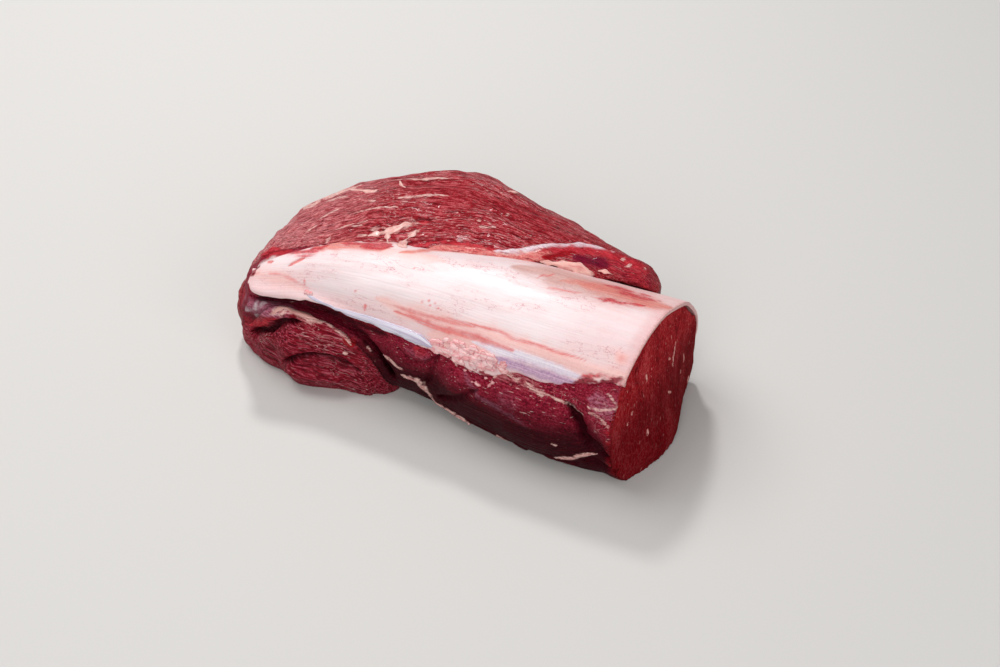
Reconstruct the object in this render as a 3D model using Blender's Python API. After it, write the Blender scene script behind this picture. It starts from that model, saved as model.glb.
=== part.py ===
"""Raw chateaubriand: the head end of a beef tenderloin, lying on the board with its silverskin up.

Two solids. The meat is muscles grown together: the barrel, which is cut across at one end, the wing
along its far side, and the lobe with a small bundle below it against its near side. The silverskin is the pale sheet over the
barrel, with a rolled tendon along its near edge, and it shows as a rim at the cut.

+X runs along the barrel to the cut, -Y is the near side, +Z is up, and the origin is on the board
under the middle of the meat. Sizes are in millimetres until a mesh is made.
"""

import math
from dataclasses import dataclass, fields

import bmesh
import bpy
from mathutils import Matrix, Vector, noise

MM = 0.001

# Driving dimensions
CUT_X = 90.5  # where the knife crosses the barrel's middle line
CUT_SLANT = 0.22  # the cut runs this far along X for each millimetre across
CUT_SLUMP = 11.0  # the soft meat bulges this far out of the cut at the board
CUT_SLUMP_Y = -11.0  # where it bulges most
CUT_SLUMP_WIDTH = 31.0
CUT_SLUMP_RISE = 30.0
GAP = 0.4  # clearance between the silverskin and the meat
SKIN = 1.3  # thickness of the silverskin
SKIN_EDGE = 0.35  # its thickness at its margins
SKIN_HEAD = 2.0  # extra thickness at its blunt end, by the head of the meat
TENDON = 2.2  # extra thickness of the rolled tendon along its near edge
TENDON_END_X = -6.0
FLAP_LIFT = 2.6  # how far the wing's free end stands off the silverskin
FLAP_START_X = 46.0  # where the wing comes free of the barrel
FLAP_OPEN_X = 62.0
BUNDLE_LENGTH = 52.0  # the surface swells over soft bundles, long along X
BUNDLE_WIDTH = 15.0
BUNDLE_HEIGHT = 1.5
BLOCK = 400.0  # side of the blocks that trim the meat


@dataclass(frozen=True)
class Section:
    """One cross-section of a muscle, square to X: its place, its sides, and its highest and widest."""

    x: float
    near: float
    far: float
    bottom: float
    top: float
    crown: float  # y of the highest line
    belly: float  # z of the widest line


@dataclass(frozen=True)
class Fold:
    """A soft ridge, or a groove where height is negative, along a straight line near the surface."""

    start: tuple
    end: tuple
    width: float
    height: float

    def lift(self, point):
        """How far this fold moves a point of the surface outwards."""
        start, end = Vector(self.start), Vector(self.end)
        along = end - start
        share = max(0.0, min(1.0, (point - start).dot(along) / along.length_squared))
        distance = (point - start - along * share).length
        return self.height * math.exp(-((distance / self.width) ** 2))


@dataclass(frozen=True)
class Cleft:
    """A deep, narrow gap between muscles: the line of its mouth, and how deep and wide it is."""

    path: tuple
    inward: tuple  # direction in which the gap deepens
    depth: float
    width: float


@dataclass(frozen=True)
class Margin:
    """How far the silverskin reaches round the barrel at one place, as angles of its section."""

    x: float
    near_deg: float
    far_deg: float


def smooth_between(before, left, right, after, share):
    """Cubic through left and right, with slopes set by the values on either side."""
    slope_left, slope_right = (right - before) / 2, (after - left) / 2
    s2, s3 = share**2, share**3
    return (
        left * (2 * s3 - 3 * s2 + 1)
        + slope_left * (s3 - 2 * s2 + share)
        + right * (3 * s2 - 2 * s3)
        + slope_right * (s3 - s2)
    )


def smooth_row(rows, x):
    """The values of a table of rows at any x, on smooth curves through the stated ones."""
    i = max(0, min(len(rows) - 2, sum(row.x <= x for row in rows) - 1))
    share = (x - rows[i].x) / (rows[i + 1].x - rows[i].x)
    four = [rows[max(0, min(len(rows) - 1, i + k))] for k in (-1, 0, 1, 2)]
    names = [field.name for field in fields(rows[0]) if field.name != "x"]
    return type(rows[0])(x, *(smooth_between(*(getattr(r, n) for r in four), share) for n in names))


def smooth_step(low, high, value):
    """0 below low and 1 above high, rising smoothly between them."""
    share = max(0.0, min(1.0, (value - low) / (high - low)))
    return share * share * (3 - 2 * share)


def hump(distance, width):
    """A bell curve of height 1."""
    return math.exp(-((distance / width) ** 2))


def signed_power(value, power):
    """The power of the value's size, with the value's sign."""
    return math.copysign(abs(value) ** power, value)


@dataclass(frozen=True)
class Muscle:
    """A muscle lofted through sections, with rounded ends."""

    sections: tuple
    rings: int
    around: int
    upper_power: float  # 2 is an ellipse, more is squarer
    lower_power: float
    start_round: float = 0.0  # length of the rounded end at low x
    end_round: float = 0.0
    folds: tuple = ()
    phase: float = 0.0  # sets this muscle's bundles apart from another's

    def taper(self, x):
        """The share of its full size that the section keeps near a rounded end."""
        left, right, size = self.sections[0].x, self.sections[-1].x, 1.0
        if self.start_round and x < left + self.start_round:
            size = 1 - (1 - (x - left) / self.start_round) ** 2
        if self.end_round and x > right - self.end_round:
            size = 1 - (1 - (right - x) / self.end_round) ** 2
        return math.sqrt(max(0.0, size))

    def plain(self, x, angle):
        """The surface without folds or bundles. The angle runs from far, over the top, to near."""
        at, size = smooth_row(self.sections, x), self.taper(x)
        c, s = math.cos(angle), math.sin(angle)
        power = self.upper_power if s > 0 else self.lower_power
        side = at.far - at.crown if c > 0 else at.crown - at.near
        rise = at.top - at.belly if s > 0 else at.belly - at.bottom
        return Vector(
            (
                x,
                at.crown + size * side * signed_power(c, 2 / power),
                at.belly + size * rise * signed_power(s, 2 / power),
            )
        )

    def outward(self, x, angle):
        """The outward direction of the plain surface."""
        step, turn = 0.5, 0.02
        low = max(self.sections[0].x, x - step)
        high = min(self.sections[-1].x, x + step)
        along = self.plain(high, angle) - self.plain(low, angle)
        around = self.plain(x, angle + turn) - self.plain(x, angle - turn)
        return around.cross(along).normalized()

    def point(self, x, angle, grow=0.0):
        """The finished surface, with its folds and bundles, grown outwards where asked."""
        plain = self.plain(x, angle)
        swell = Vector(
            ((x + self.phase) / BUNDLE_LENGTH, plain.y / BUNDLE_WIDTH, plain.z / BUNDLE_WIDTH)
        )
        lift = BUNDLE_HEIGHT * self.taper(x) * noise.noise(swell)
        lift += sum(fold.lift(plain) for fold in self.folds)
        return plain + self.outward(x, angle) * (lift + grow)

    def stations(self):
        """Places of the rings along X, closer together round the ends."""
        left, right = self.sections[0].x, self.sections[-1].x
        begin, finish = left + self.start_round, right - self.end_round
        pitch = (right - left) / self.rings
        places = []
        for cap, edge, sign in ((self.start_round, begin, -1), (self.end_round, finish, 1)):
            steps = round(math.pi / 2 * cap / pitch)
            places += [edge + sign * cap * math.sin(math.pi / 2 * k / steps) for k in range(1, steps)]
        middle = round((finish - begin) / pitch)
        places += [begin + (finish - begin) * k / middle for k in range(middle + 1)]
        return sorted(places)


BARREL = Muscle(
    sections=(
        #       x    near far bottom top crown belly
        Section(-104, -22, 6, 16, 48, -12, 32),
        Section(-92, -23, 14, 4, 52, -8, 28),
        Section(-70, -22, 23, -3, 58, -2, 26),
        Section(-45, -25, 28, -3, 62, 0, 26),
        Section(-20, -28, 32, -3, 64, 0, 26),
        Section(5, -32, 36, -3, 65.5, -1, 25),
        Section(20, -35.5, 38, -3, 66.5, -2, 25),
        Section(35, -38, 39, -3, 67, -3, 25),
        Section(65, -41, 39, -3, 67, -4, 25),
        Section(85, -42, 38, -3, 67, -5, 25),
        Section(108, -42, 37, -3, 66, -5, 25),
    ),
    rings=42,
    around=60,
    upper_power=1.95,
    lower_power=4.0,
    start_round=16.0,
    folds=(
        Fold((-34, -22, 2), (-8, -20, 2), 9, -5),  # the waist, where the meat draws in at the board
        Fold((-58, -22, 38), (-30, -25, 35), 6, -2.5),  # hollow under the tendon
        Fold((-20, -27, 34), (-10, -28, 30), 8, 2.0),  # lump under the tendon's tip
        Fold((0, -30, 40), (-8, -30, 12), 4.5, -2.8),  # crease beyond that lump
        Fold((14, -34, 24), (52, -39, 20), 13, 2.2),  # the long bulge of the near side
        Fold((66, -38, 42), (74, -42, 24), 4.5, -2.8),  # crease before the lip of the cut
        Fold((75, -42, 20), (77, -42, 4), 4.5, -3.0),
        Fold((82, -40, 36), (84, -42, 14), 6, 1.6),  # lip of the cut
    ),
)
WING = Muscle(
    sections=(
        Section(-109, -18, 29, 6, 43, 2, 20),
        Section(-100, -18, 48, -3, 49, 5, 20),
        Section(-92, -17, 58, -3, 51.5, 7, 20),
        Section(-78, -13, 76, -3, 55.5, 11, 20),
        Section(-56, -11, 89, -3, 59, 15, 20),
        Section(-32, -8, 99, -3, 61, 21, 20),
        Section(-10, -3, 94, -3, 61.5, 25, 21),
        Section(10, 3, 83, -3, 61.5, 29, 22),
        Section(32, 12, 72, 2, 61, 34, 26),
        Section(50, 19, 60, 10, 61, 36, 32),
        Section(66, 22, 51, 20, 61, 35, 38),
        Section(82, 26, 42, 34, 59.5, 34, 47),
    ),
    rings=36,
    around=50,
    upper_power=2.5,
    lower_power=3.0,
    start_round=15.0,
    end_round=9.0,
    phase=40.0,
    folds=(
        Fold((-60, 24, 57), (10, 60, 54), 9, -1.2),  # shallow dip along the wing
        Fold((-40, 44, 56), (0, 40, 58), 10, 1.2),
    ),
)
LOBE = Muscle(
    sections=(
        Section(-113, -12, 6, 6, 31, -4, 18),
        Section(-103, -20, 6, -3, 34, -8, 16),
        Section(-90, -27, 4, -3, 37, -14, 15),
        Section(-75, -31, 0, -3, 37.5, -18, 14),
        Section(-57, -31, -3, -3, 36, -20, 13),
        Section(-42, -29.5, -5, -3, 31, -19, 12),
        Section(-31, -25, -5, -3, 23, -16, 9),
        Section(-24, -21, -6, -3, 14, -13, 6),
    ),
    rings=28,
    around=40,
    upper_power=2.2,
    lower_power=3.5,
    start_round=9.0,
    end_round=7.0,
    phase=80.0,
    folds=(
        Fold((-98, -20, 33), (-62, -23, 38), 4.5, 1.8),  # the roll under its membrane
        Fold((-100, -22, 18), (-87, -27, 28), 3.2, -2.6),  # crease below that roll
        Fold((-87, -27, 28), (-66, -25, 35), 3.2, -2.4),
    ),
)
BUNDLE = Muscle(
    sections=(
        Section(-79, -29.5, -12, -3, 16, -20, 7),
        Section(-66, -33.5, -12, -3, 18.5, -22, 8),
        Section(-50, -33, -12, -3, 18.5, -21, 8),
        Section(-39, -30.5, -12, -3, 16, -19, 7),
        Section(-31, -26.5, -12, -3, 12, -17, 6),
    ),
    rings=14,
    around=26,
    upper_power=2.2,
    lower_power=3.5,
    start_round=5.0,
    end_round=6.0,
    phase=120.0,
)
CLEFTS = (
    # Under the tendon, between the lobe and the barrel, then down to the board
    Cleft(
        path=(
            (-101, -19, 35),
            (-88, -20, 38),
            (-70, -19, 38),
            (-50, -21, 36),
            (-36, -23, 31),
            (-27, -22, 20),
            (-22, -21, 4),
        ),
        inward=(0, 1, -0.25),
        depth=9.0,
        width=3.4,
    ),
)
MARGINS = (
    Margin(-99, 135, 118),
    Margin(-92, 147, 98),
    Margin(-80, 148, 86),
    Margin(-60, 151, 76),
    Margin(-46, 156, 66),
    Margin(-33, 159, 58),
    Margin(-10, 158, 46),
    Margin(22, 156, 34),
    Margin(34, 148, 26),
    Margin(55, 146, 14),
    Margin(70, 137, 8),
    Margin(83, 134, 5),
    Margin(108, 134, 5),
)


def new_object(name, mesh):
    """Puts a finished bmesh into the scene, in metres, as an object of that name."""
    bmesh.ops.recalc_face_normals(mesh, faces=mesh.faces)
    bmesh.ops.scale(mesh, vec=(MM, MM, MM), verts=mesh.verts)
    data = bpy.data.meshes.new(name)
    mesh.to_mesh(data)
    mesh.free()
    obj = bpy.data.objects.new(name, data)
    bpy.context.scene.collection.objects.link(obj)
    return obj


def bridge_rings(mesh, rings):
    """Joins rings of vertices into a closed tube, with a fan of faces over each end."""
    for left, right in zip(rings, rings[1:]):
        for k in range(len(left)):
            j = (k + 1) % len(left)
            mesh.faces.new((left[k], left[j], right[j], right[k]))
    for ring in (rings[0], rings[-1]):
        middle = mesh.verts.new(sum((vertex.co for vertex in ring), Vector()) / len(ring))
        for k in range(len(ring)):
            mesh.faces.new((ring[k], ring[(k + 1) % len(ring)], middle))


def loft(name, muscle, grow=lambda x: 0.0):
    """A closed object over a muscle's surface, grown outwards by grow(x)."""
    mesh = bmesh.new()
    turn = 2 * math.pi / muscle.around
    rings = []
    for x in muscle.stations():
        rings.append([mesh.verts.new(muscle.point(x, turn * k, grow(x))) for k in range(muscle.around)])
    bridge_rings(mesh, rings)
    return new_object(name, mesh)


def blade(name, cleft, steps=24, sides=12):
    """The cutter for a cleft: a flat tube along its mouth, thin across and deep inwards."""
    mesh = bmesh.new()
    deep = Vector(cleft.inward).normalized()
    points, rings = cleft.path, []
    for step in range(steps + 1):
        place = step / steps * (len(points) - 1)
        i = min(len(points) - 2, int(place))
        four = [points[max(0, min(len(points) - 1, i + k))] for k in (-1, 0, 1, 2)]
        centre = Vector([smooth_between(*(p[axis] for p in four), place - i) for axis in range(3)])
        across = (Vector(points[i + 1]) - Vector(points[i])).cross(deep).normalized()
        size = max(0.15, math.sqrt(1 - (2 * step / steps - 1) ** 4))
        rings.append([])
        for k in range(sides):
            turn = 2 * math.pi * k / sides
            inward = deep * (cleft.depth * size * math.cos(turn))
            sideways = across * (cleft.width / 2 * size * math.sin(turn))
            rings[-1].append(mesh.verts.new(centre + inward + sideways))
    bridge_rings(mesh, rings)
    return new_object(name, mesh)


def board():
    """The block below the resting plane."""
    mesh = bmesh.new()
    bmesh.ops.create_cube(mesh, size=BLOCK)
    bmesh.ops.translate(mesh, verts=mesh.verts, vec=(0, 0, -BLOCK / 2))
    return new_object("board", mesh)


def cut_x(y, z):
    """The x of the cut face: a slanted plane that the soft meat bulges out of near the board."""
    slump = CUT_SLUMP * hump(y - CUT_SLUMP_Y, CUT_SLUMP_WIDTH) * hump(max(z, 0), CUT_SLUMP_RISE)
    return CUT_X + CUT_SLANT * y + slump


def knife(step=5.0):
    """The block beyond the cut face, which it meets as a grid of small flats."""
    mesh = bmesh.new()
    ys = [-70 + step * k for k in range(30)]
    zs = [-10 + step * k for k in range(19)]
    face = [[mesh.verts.new((cut_x(y, z), y, z)) for z in zs] for y in ys]
    back = [[mesh.verts.new((BLOCK, y, z)) for z in zs] for y in ys]
    join_sheets(mesh, face, back)
    return new_object("knife", mesh)


def join_sheets(mesh, one, other):
    """Closes two grids of vertices into a solid, with walls round their four sides."""
    for grid in (one, other):
        for left, right in zip(grid, grid[1:]):
            for k in range(len(left) - 1):
                mesh.faces.new((left[k], left[k + 1], right[k + 1], right[k]))
    sides = (
        [(a[0], b[0]) for a, b in zip(one, other)],
        [(a[-1], b[-1]) for a, b in zip(one, other)],
        list(zip(one[0], other[0])),
        list(zip(one[-1], other[-1])),
    )
    for side in sides:
        for (a, b), (c, d) in zip(side, side[1:]):
            mesh.faces.new((a, b, d, c))


def apply_boolean(obj, operation, others):
    """Joins the others to an object, or cuts them from it, and removes them."""
    group = bpy.data.collections.new(operation)
    for other in others:
        group.objects.link(other)
    modifier = obj.modifiers.new(operation, "BOOLEAN")
    modifier.operation = operation
    modifier.operand_type = "COLLECTION"
    modifier.collection = group
    modifier.solver = "EXACT"
    graph = bpy.context.evaluated_depsgraph_get()
    result = bpy.data.meshes.new_from_object(obj.evaluated_get(graph))
    obj.modifiers.clear()
    obj.data = result
    for other in others:
        bpy.data.objects.remove(other)
    bpy.data.collections.remove(group)


def flap_clearance(x):
    """How far the barrel is grown to free the wing's end, which starts inside the barrel."""
    return -3.0 + (3.0 + GAP + SKIN + FLAP_LIFT) * smooth_step(FLAP_START_X, FLAP_OPEN_X, x)


def make_wing(name, grow):
    """The wing, its end freed from the barrel, grown outwards all over."""
    wing = loft(name, WING, lambda x: grow)
    apply_boolean(wing, "DIFFERENCE", [loft("clearance", BARREL, lambda x: flap_clearance(x) - grow)])
    return wing


def make_meat():
    """The muscles joined, opened at the clefts, then trimmed by the board and the knife."""
    meat = loft("meat", BARREL)
    apply_boolean(meat, "UNION", [make_wing("wing", 0.0), loft("lobe", LOBE), loft("bundle", BUNDLE)])
    blades = [blade(f"blade_{i}", cleft) for i, cleft in enumerate(CLEFTS)]
    apply_boolean(meat, "DIFFERENCE", [*blades, board(), knife()])
    return meat


def skin_thickness(x, from_head, from_near, from_far):
    """Thickness of the silverskin, at those distances from its blunt end and its two long edges."""
    body = SKIN + SKIN_HEAD * (1 - smooth_step(3, 37, from_head))
    body += TENDON * hump(from_near - 3, 3) * (1 - smooth_step(TENDON_END_X - 24, TENDON_END_X, x))
    edge = smooth_step(-1, 4, from_head) * smooth_step(-0.5, 2.5, from_near) * smooth_step(-0.5, 3, from_far)
    return SKIN_EDGE + (body - SKIN_EDGE) * edge


def make_silverskin(columns=24):
    """The sheet over the barrel, cut off at the knife and where the wing and the lobe cover it."""
    mesh = bmesh.new()
    first = MARGINS[0].x
    outer, inner = [], []
    for x in [first] + [x for x in BARREL.stations() if x > first + 1]:
        margin, section = smooth_row(MARGINS, x), smooth_row(BARREL.sections, x)
        near, far = math.radians(margin.near_deg), math.radians(margin.far_deg)
        reach = (near - far) * (section.top - section.belly)
        outer.append([])
        inner.append([])
        for column in range(columns + 1):
            share = (1 - math.cos(math.pi * column / columns)) / 2  # closer together at the edges
            angle = near + (far - near) * share
            thickness = skin_thickness(x, x - first, reach * share, reach * (1 - share))
            outer[-1].append(mesh.verts.new(BARREL.point(x, angle, GAP + thickness)))
            inner[-1].append(mesh.verts.new(BARREL.point(x, angle, GAP)))
    join_sheets(mesh, outer, inner)
    skin = new_object("silverskin", mesh)
    covers = [make_wing("wing_cover", GAP), loft("lobe_cover", LOBE, lambda x: GAP)]
    apply_boolean(skin, "DIFFERENCE", [*covers, knife()])
    return skin


def dress(obj, name, hex_colour, roughness):
    """Gives an object its own plain material, smooth with crisp edges at the cuts."""
    material = bpy.data.materials.new(name)
    material.use_nodes = True
    channels = [int(hex_colour[i : i + 2], 16) / 255 for i in (1, 3, 5)]
    linear = [c / 12.92 if c <= 0.04045 else ((c + 0.055) / 1.055) ** 2.4 for c in channels]
    shader = material.node_tree.nodes["Principled BSDF"]
    shader.inputs["Base Color"].default_value = (*linear, 1)
    shader.inputs["Roughness"].default_value = roughness
    material.diffuse_color = (*linear, 1)
    obj.data.materials.clear()
    obj.data.materials.append(material)
    obj.data.shade_smooth()
    obj.data.set_sharp_from_angle(angle=math.radians(40))


def centre_on_origin(objects):
    """Moves the meshes so that the middle of their common box stands over the origin."""
    corners = [vertex.co for obj in objects for vertex in obj.data.vertices]
    low, high = (Vector([pick(c[axis] for c in corners) for axis in range(3)]) for pick in (min, max))
    shift = Matrix.Translation((-(low.x + high.x) / 2, -(low.y + high.y) / 2, -low.z))
    for obj in objects:
        obj.data.transform(shift)


def main():
    """Builds the meat and its silverskin."""
    for obj in list(bpy.data.objects):
        bpy.data.objects.remove(obj)
    meat, skin = make_meat(), make_silverskin()
    dress(meat, "raw beef", "#8a2632", 0.4)
    dress(skin, "silverskin", "#f3dcdc", 0.35)
    centre_on_origin([meat, skin])


main()
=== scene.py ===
"""Looks of the raw chateaubriand: the head end of a beef tenderloin, cut across, silverskin up.

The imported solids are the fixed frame. The flesh and the silverskin are finer meshes over the same
forms, painted and raised along named lines, and small pieces of fat, tendon and fascia are laid on
them. Named places are in the meat's own millimetres: +X along the barrel to the cut, -Y towards the
near side, +Z up from the board.
"""

import itertools
import logging
import math
from collections.abc import Sequence
from dataclasses import dataclass
from enum import Enum
from functools import partial

import bpy
import numpy as np
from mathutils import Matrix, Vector
from mathutils.bvhtree import BVHTree


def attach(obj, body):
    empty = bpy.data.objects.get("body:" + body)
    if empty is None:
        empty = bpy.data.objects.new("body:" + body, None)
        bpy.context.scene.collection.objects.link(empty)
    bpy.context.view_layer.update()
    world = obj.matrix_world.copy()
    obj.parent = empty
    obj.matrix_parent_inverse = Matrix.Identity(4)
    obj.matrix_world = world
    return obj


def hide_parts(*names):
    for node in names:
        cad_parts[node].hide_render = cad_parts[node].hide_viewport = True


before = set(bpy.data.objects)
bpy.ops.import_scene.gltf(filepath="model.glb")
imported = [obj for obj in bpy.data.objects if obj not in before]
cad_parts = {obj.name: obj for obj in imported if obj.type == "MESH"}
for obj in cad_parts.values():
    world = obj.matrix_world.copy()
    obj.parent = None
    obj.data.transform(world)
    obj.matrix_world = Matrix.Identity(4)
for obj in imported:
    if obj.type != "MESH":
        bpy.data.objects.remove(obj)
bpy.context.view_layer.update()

Array = np.ndarray
Piece = bpy.types.Object
Socket = bpy.types.NodeSocket
Place = tuple[float, float, float]
Route = tuple[Place, ...]
Log = logging.getLogger("chateaubriand")

MM = 0.001
OFFSET = np.array((6.158, -27.972, 0.0))  # from the meat's own millimetres to the frame's
CUT_X, CUT_SLANT = 90.5, 0.22  # the cut's place along X, and how far it slants
# how far its foot slumps forward, where along Y, how widely, and how high up that still shows
CUT_SLUMP, CUT_SLUMP_Y, CUT_SLUMP_WIDTH, CUT_SLUMP_RISE = 11.0, -11.0, 31.0, 30.0
BARREL_RADIUS = 37.0
DEGREES_PER_MM = 1.4  # round the barrel, at the silverskin's edges
SMOOTH_ANGLE = math.radians(60)


class Paint(Enum):
    """What is laid on a surface. The value names the mesh attribute that holds how much of it."""

    FAT = "fat"
    # a thin membrane's tint, and on the tops of the barrel's near bulges a painted sheen
    FILM_AND_SHEEN = "film"
    FRINGE = "fringe"
    BLOOD = "blood"
    # painted shade: a darker colour in creases, clefts, recesses, under the silverskin's edge, on low sides
    # and towards the cut's foot
    DARK = "dark"
    PEACH = "peach"
    BLUSH = "blush"
    # a pale lilac tint of membrane and fascia, and painted glints on the lobe's wet membrane
    LILAC_AND_GLINT = "lilac"
    WEB = "web"
    PLUM = "plum"
    FLESH = "flesh"
    PINK = "pink"
    ORANGE = "orange"
    RIM = "rim"
    # painted shade: grey-beige on the silverskin's far side, which turns from the light, and under the wing's
    # free end
    SKIN_SHADE = "haze"


# ---------------------------------------------------------------- numbers and curves


def linear(hex_colour: str) -> tuple[float, ...]:
    """Turns an sRGB hex colour such as "#8a2632" into linear red, green, blue and an alpha of 1."""
    channels = [int(hex_colour[i : i + 2], 16) / 255 for i in (1, 3, 5)]
    return *(c / 12.92 if c <= 0.04045 else ((c + 0.055) / 1.055) ** 2.4 for c in channels), 1.0


def smooth_step(low: float, high: float, value: Array) -> Array:
    """Rises smoothly from 0 at low to 1 at high, or falls where low is above high."""
    share = np.clip((value - low) / (high - low), 0, 1)
    return share * share * (3 - 2 * share)


def bell(distance: Array, width: float) -> Array:
    """A bell curve of height 1 and that half width."""
    return np.exp(-((distance / width) ** 2))


def ripple(places: Array, seed: int = 0) -> Array:
    """Smooth noise with bumps about one unit apart, the same on every run.

    Args:
        places: Points, already divided by the wanted bump sizes.
        seed: Sets one pattern apart from another.

    Returns:
        A value from -1 to 1 for each point.
    """
    cell = np.floor(places).astype(np.int64)
    blend = (part := places - cell) * part * (3 - 2 * part)
    total = np.zeros(len(places))
    for corner in itertools.product((0, 1), repeat=3):
        mixed = ((cell + corner) @ (374761393, 668265263, 362437) + seed * 974711) & 0xFFFFFFFF
        for shift, factor in ((13, 1274126177), (15, 461845907)):
            mixed = ((mixed ^ (mixed >> shift)) * factor) & 0xFFFFFFFF
        weight = np.prod(np.where(np.array(corner, bool), blend, 1 - blend), axis=1)
        total += weight * ((mixed ^ (mixed >> 16)) / 0x7FFFFFFF - 1)
    return total


def smooth_rows(table: Sequence[Sequence[float]], at: Array) -> Array:
    """Reads a table between its rows, on smooth curves through them.

    Args:
        table: Rows that start with their place.
        at: The places to read.

    Returns:
        One row of the other columns for each place.
    """
    rows = np.array(table, float)
    i = np.clip(np.searchsorted(rows[:, 0], at, side="right") - 1, 0, len(rows) - 2)
    share = np.clip((at - rows[i, 0]) / (rows[i + 1, 0] - rows[i, 0]), 0, 1)[:, None]
    before, left, right, after = (rows[np.clip(i + k, 0, len(rows) - 1), 1:] for k in (-1, 0, 1, 2))
    s2, s3 = share**2, share**3
    ends = left * (2 * s3 - 3 * s2 + 1) + right * (3 * s2 - 2 * s3)
    return ends + (right - before) / 2 * (s3 - 2 * s2 + share) + (after - left) / 2 * (s3 - s2)


def smooth_line(points: Sequence[Place], count: int) -> Array:
    """That many points, at even shares along a smooth curve through named places."""
    numbered = [(i, *point) for i, point in enumerate(points)]
    return smooth_rows(numbered, np.linspace(0, len(points) - 1, count))


def smooth_values(values: Sequence[float], shares: Array) -> Array:
    """Values at shares of a length, on a smooth curve through some that are named evenly along it."""
    return smooth_rows(list(enumerate(values)), shares * (len(values) - 1))[:, 0]


def cut_x(y: Array, z: Array) -> Array:
    """The x of the knife's cut at a height and a place across, as in the solids."""
    slump = CUT_SLUMP * bell(y - CUT_SLUMP_Y, CUT_SLUMP_WIDTH) * bell(np.maximum(z, 0), CUT_SLUMP_RISE)
    return CUT_X + CUT_SLANT * y + slump


def inside_cut(places: Array) -> Array:
    """How far each place lies inside the cut, in millimetres along X."""
    return cut_x(places[:, 1], places[:, 2]) - places[:, 0]


@dataclass(frozen=True)
class Mark:
    """A stroke of one paint along a line on the surface, which may raise the surface or sink it.

    Attributes:
        paint: What it is made of, or None for relief alone.
        points: The places it runs through.
        width: Its half width, in millimetres.
        strength: How fully it covers.
        lift: How far it raises the surface, or sinks it where negative.
        ragged: How uneven its edge is, as a share of the width.
    """

    paint: Paint | None
    points: Route
    width: float
    strength: float = 1.0
    lift: float = 0.0
    ragged: float = 0.35

    def reach(self, places: Array, line: Array) -> Array:
        """How far each place is from the stroke, in half widths. The stroke narrows towards its ends.

        Args:
            places: The places.
            line: The stroke's line on the surface.

        Returns:
            A distance for each place.
        """
        beyond = 4 * self.width
        near = np.all((places > line.min(axis=0) - beyond) & (places < line.max(axis=0) + beyond), axis=1)
        best, share = np.full(near.sum(), np.inf), np.zeros(near.sum())
        for i, (start, end) in enumerate(zip(line, line[1:])):
            along, off = end - start, places[near] - start
            part = np.clip(off @ along / max(along @ along, 1e-9), 0, 1)
            distance = np.linalg.norm(off - part[:, None] * along, axis=1)
            share = np.where(distance < best, (i + part) / (len(line) - 1), share)
            best = np.minimum(best, distance)
        full = smooth_step(-0.1, 0.25, np.minimum(share, 1 - share)) if len(self.points) > 1 else 1.0
        wander = ripple(places[near] / (0.8 * self.width + 0.8), len(self.points)) * self.ragged
        reach = np.full(len(places), 9.0)
        reach[near] = np.maximum(best / (self.width * full) + wander, 0)
        return reach


# ---------------------------------------------------------------- the muscles' forms


@dataclass(frozen=True)
class Muscle:
    """One muscle of the solids, for telling which muscle a place belongs to.

    Attributes:
        sections: Rows of x, near, far, bottom, top, crown and belly, as in the solids.
        power: 2 is an ellipse, more is squarer.
    """

    sections: tuple[tuple[float, ...], ...]
    power: float

    def parts(self, places: Array) -> tuple[Array, Array]:
        """How far out each place lies across and up, as shares of the muscle's own half sizes.

        Args:
            places: The places.

        Returns:
            The shares across, below 0 on the near side, and the shares up, below 0 under the belly.
        """
        near, far, bottom, top, crown, belly = smooth_rows(self.sections, places[:, 0]).T
        y, z = places[:, 1] - crown, places[:, 2] - belly
        side = np.where(y > 0, far - crown, crown - near)
        rise = np.where(z > 0, top - belly, belly - bottom)
        return y / side, z / rise

    def depth(self, places: Array) -> Array:
        """How deep each place lies in the muscle.

        Args:
            places: The places.

        Returns:
            1 on the muscle's surface, less inside it and more outside.
        """
        across, up = self.parts(places)
        first, last = self.sections[0][0], self.sections[-1][0]
        past = np.maximum(0, np.maximum(first - places[:, 0], places[:, 0] - last)) / 6
        power = np.where(up > 0, self.power, 3.5)
        return (np.abs(across) ** power + np.abs(up) ** power) ** (1 / power) + past

    def surface(self, x: Array, angle: Array) -> Array:
        """Points of the upper surface.

        Args:
            x: Their places along X.
            angle: Their angles, which run from far, over the top, to near.

        Returns:
            The points.
        """
        near, far, _, top, crown, belly = smooth_rows(self.sections, x).T
        c, s = np.cos(angle), np.sin(angle)
        side = np.where(c > 0, far - crown, crown - near)
        y = crown + side * np.sign(c) * np.abs(c) ** (2 / self.power)
        z = belly + (top - belly) * np.abs(s) ** (2 / self.power)
        return np.stack([x, y, z], axis=1)


BARREL = Muscle(
    (
        (-104, -22, 6, 16, 48, -12, 32),
        (-92, -23, 14, 4, 52, -8, 28),
        (-70, -22, 23, -3, 58, -2, 26),
        (-45, -25, 28, -3, 62, 0, 26),
        (-20, -28, 32, -3, 64, 0, 26),
        (5, -32, 36, -3, 65.5, -1, 25),
        (20, -35.5, 38, -3, 66.5, -2, 25),
        (35, -38, 39, -3, 67, -3, 25),
        (65, -41, 39, -3, 67, -4, 25),
        (85, -42, 38, -3, 67, -5, 25),
        (108, -42, 37, -3, 66, -5, 25),
    ),
    1.95,
)
WING = Muscle(
    (
        (-109, -18, 29, 6, 43, 2, 20),
        (-100, -18, 48, -3, 49, 5, 20),
        (-92, -17, 58, -3, 51.5, 7, 20),
        (-78, -13, 76, -3, 55.5, 11, 20),
        (-56, -11, 89, -3, 59, 15, 20),
        (-32, -8, 99, -3, 61, 21, 20),
        (-10, -3, 94, -3, 61.5, 25, 21),
        (10, 3, 83, -3, 61.5, 29, 22),
        (32, 12, 72, 2, 61, 34, 26),
        (50, 19, 60, 10, 61, 36, 32),
        (66, 22, 51, 20, 61, 35, 38),
        (82, 26, 42, 34, 59.5, 34, 47),
    ),
    2.5,
)
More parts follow.
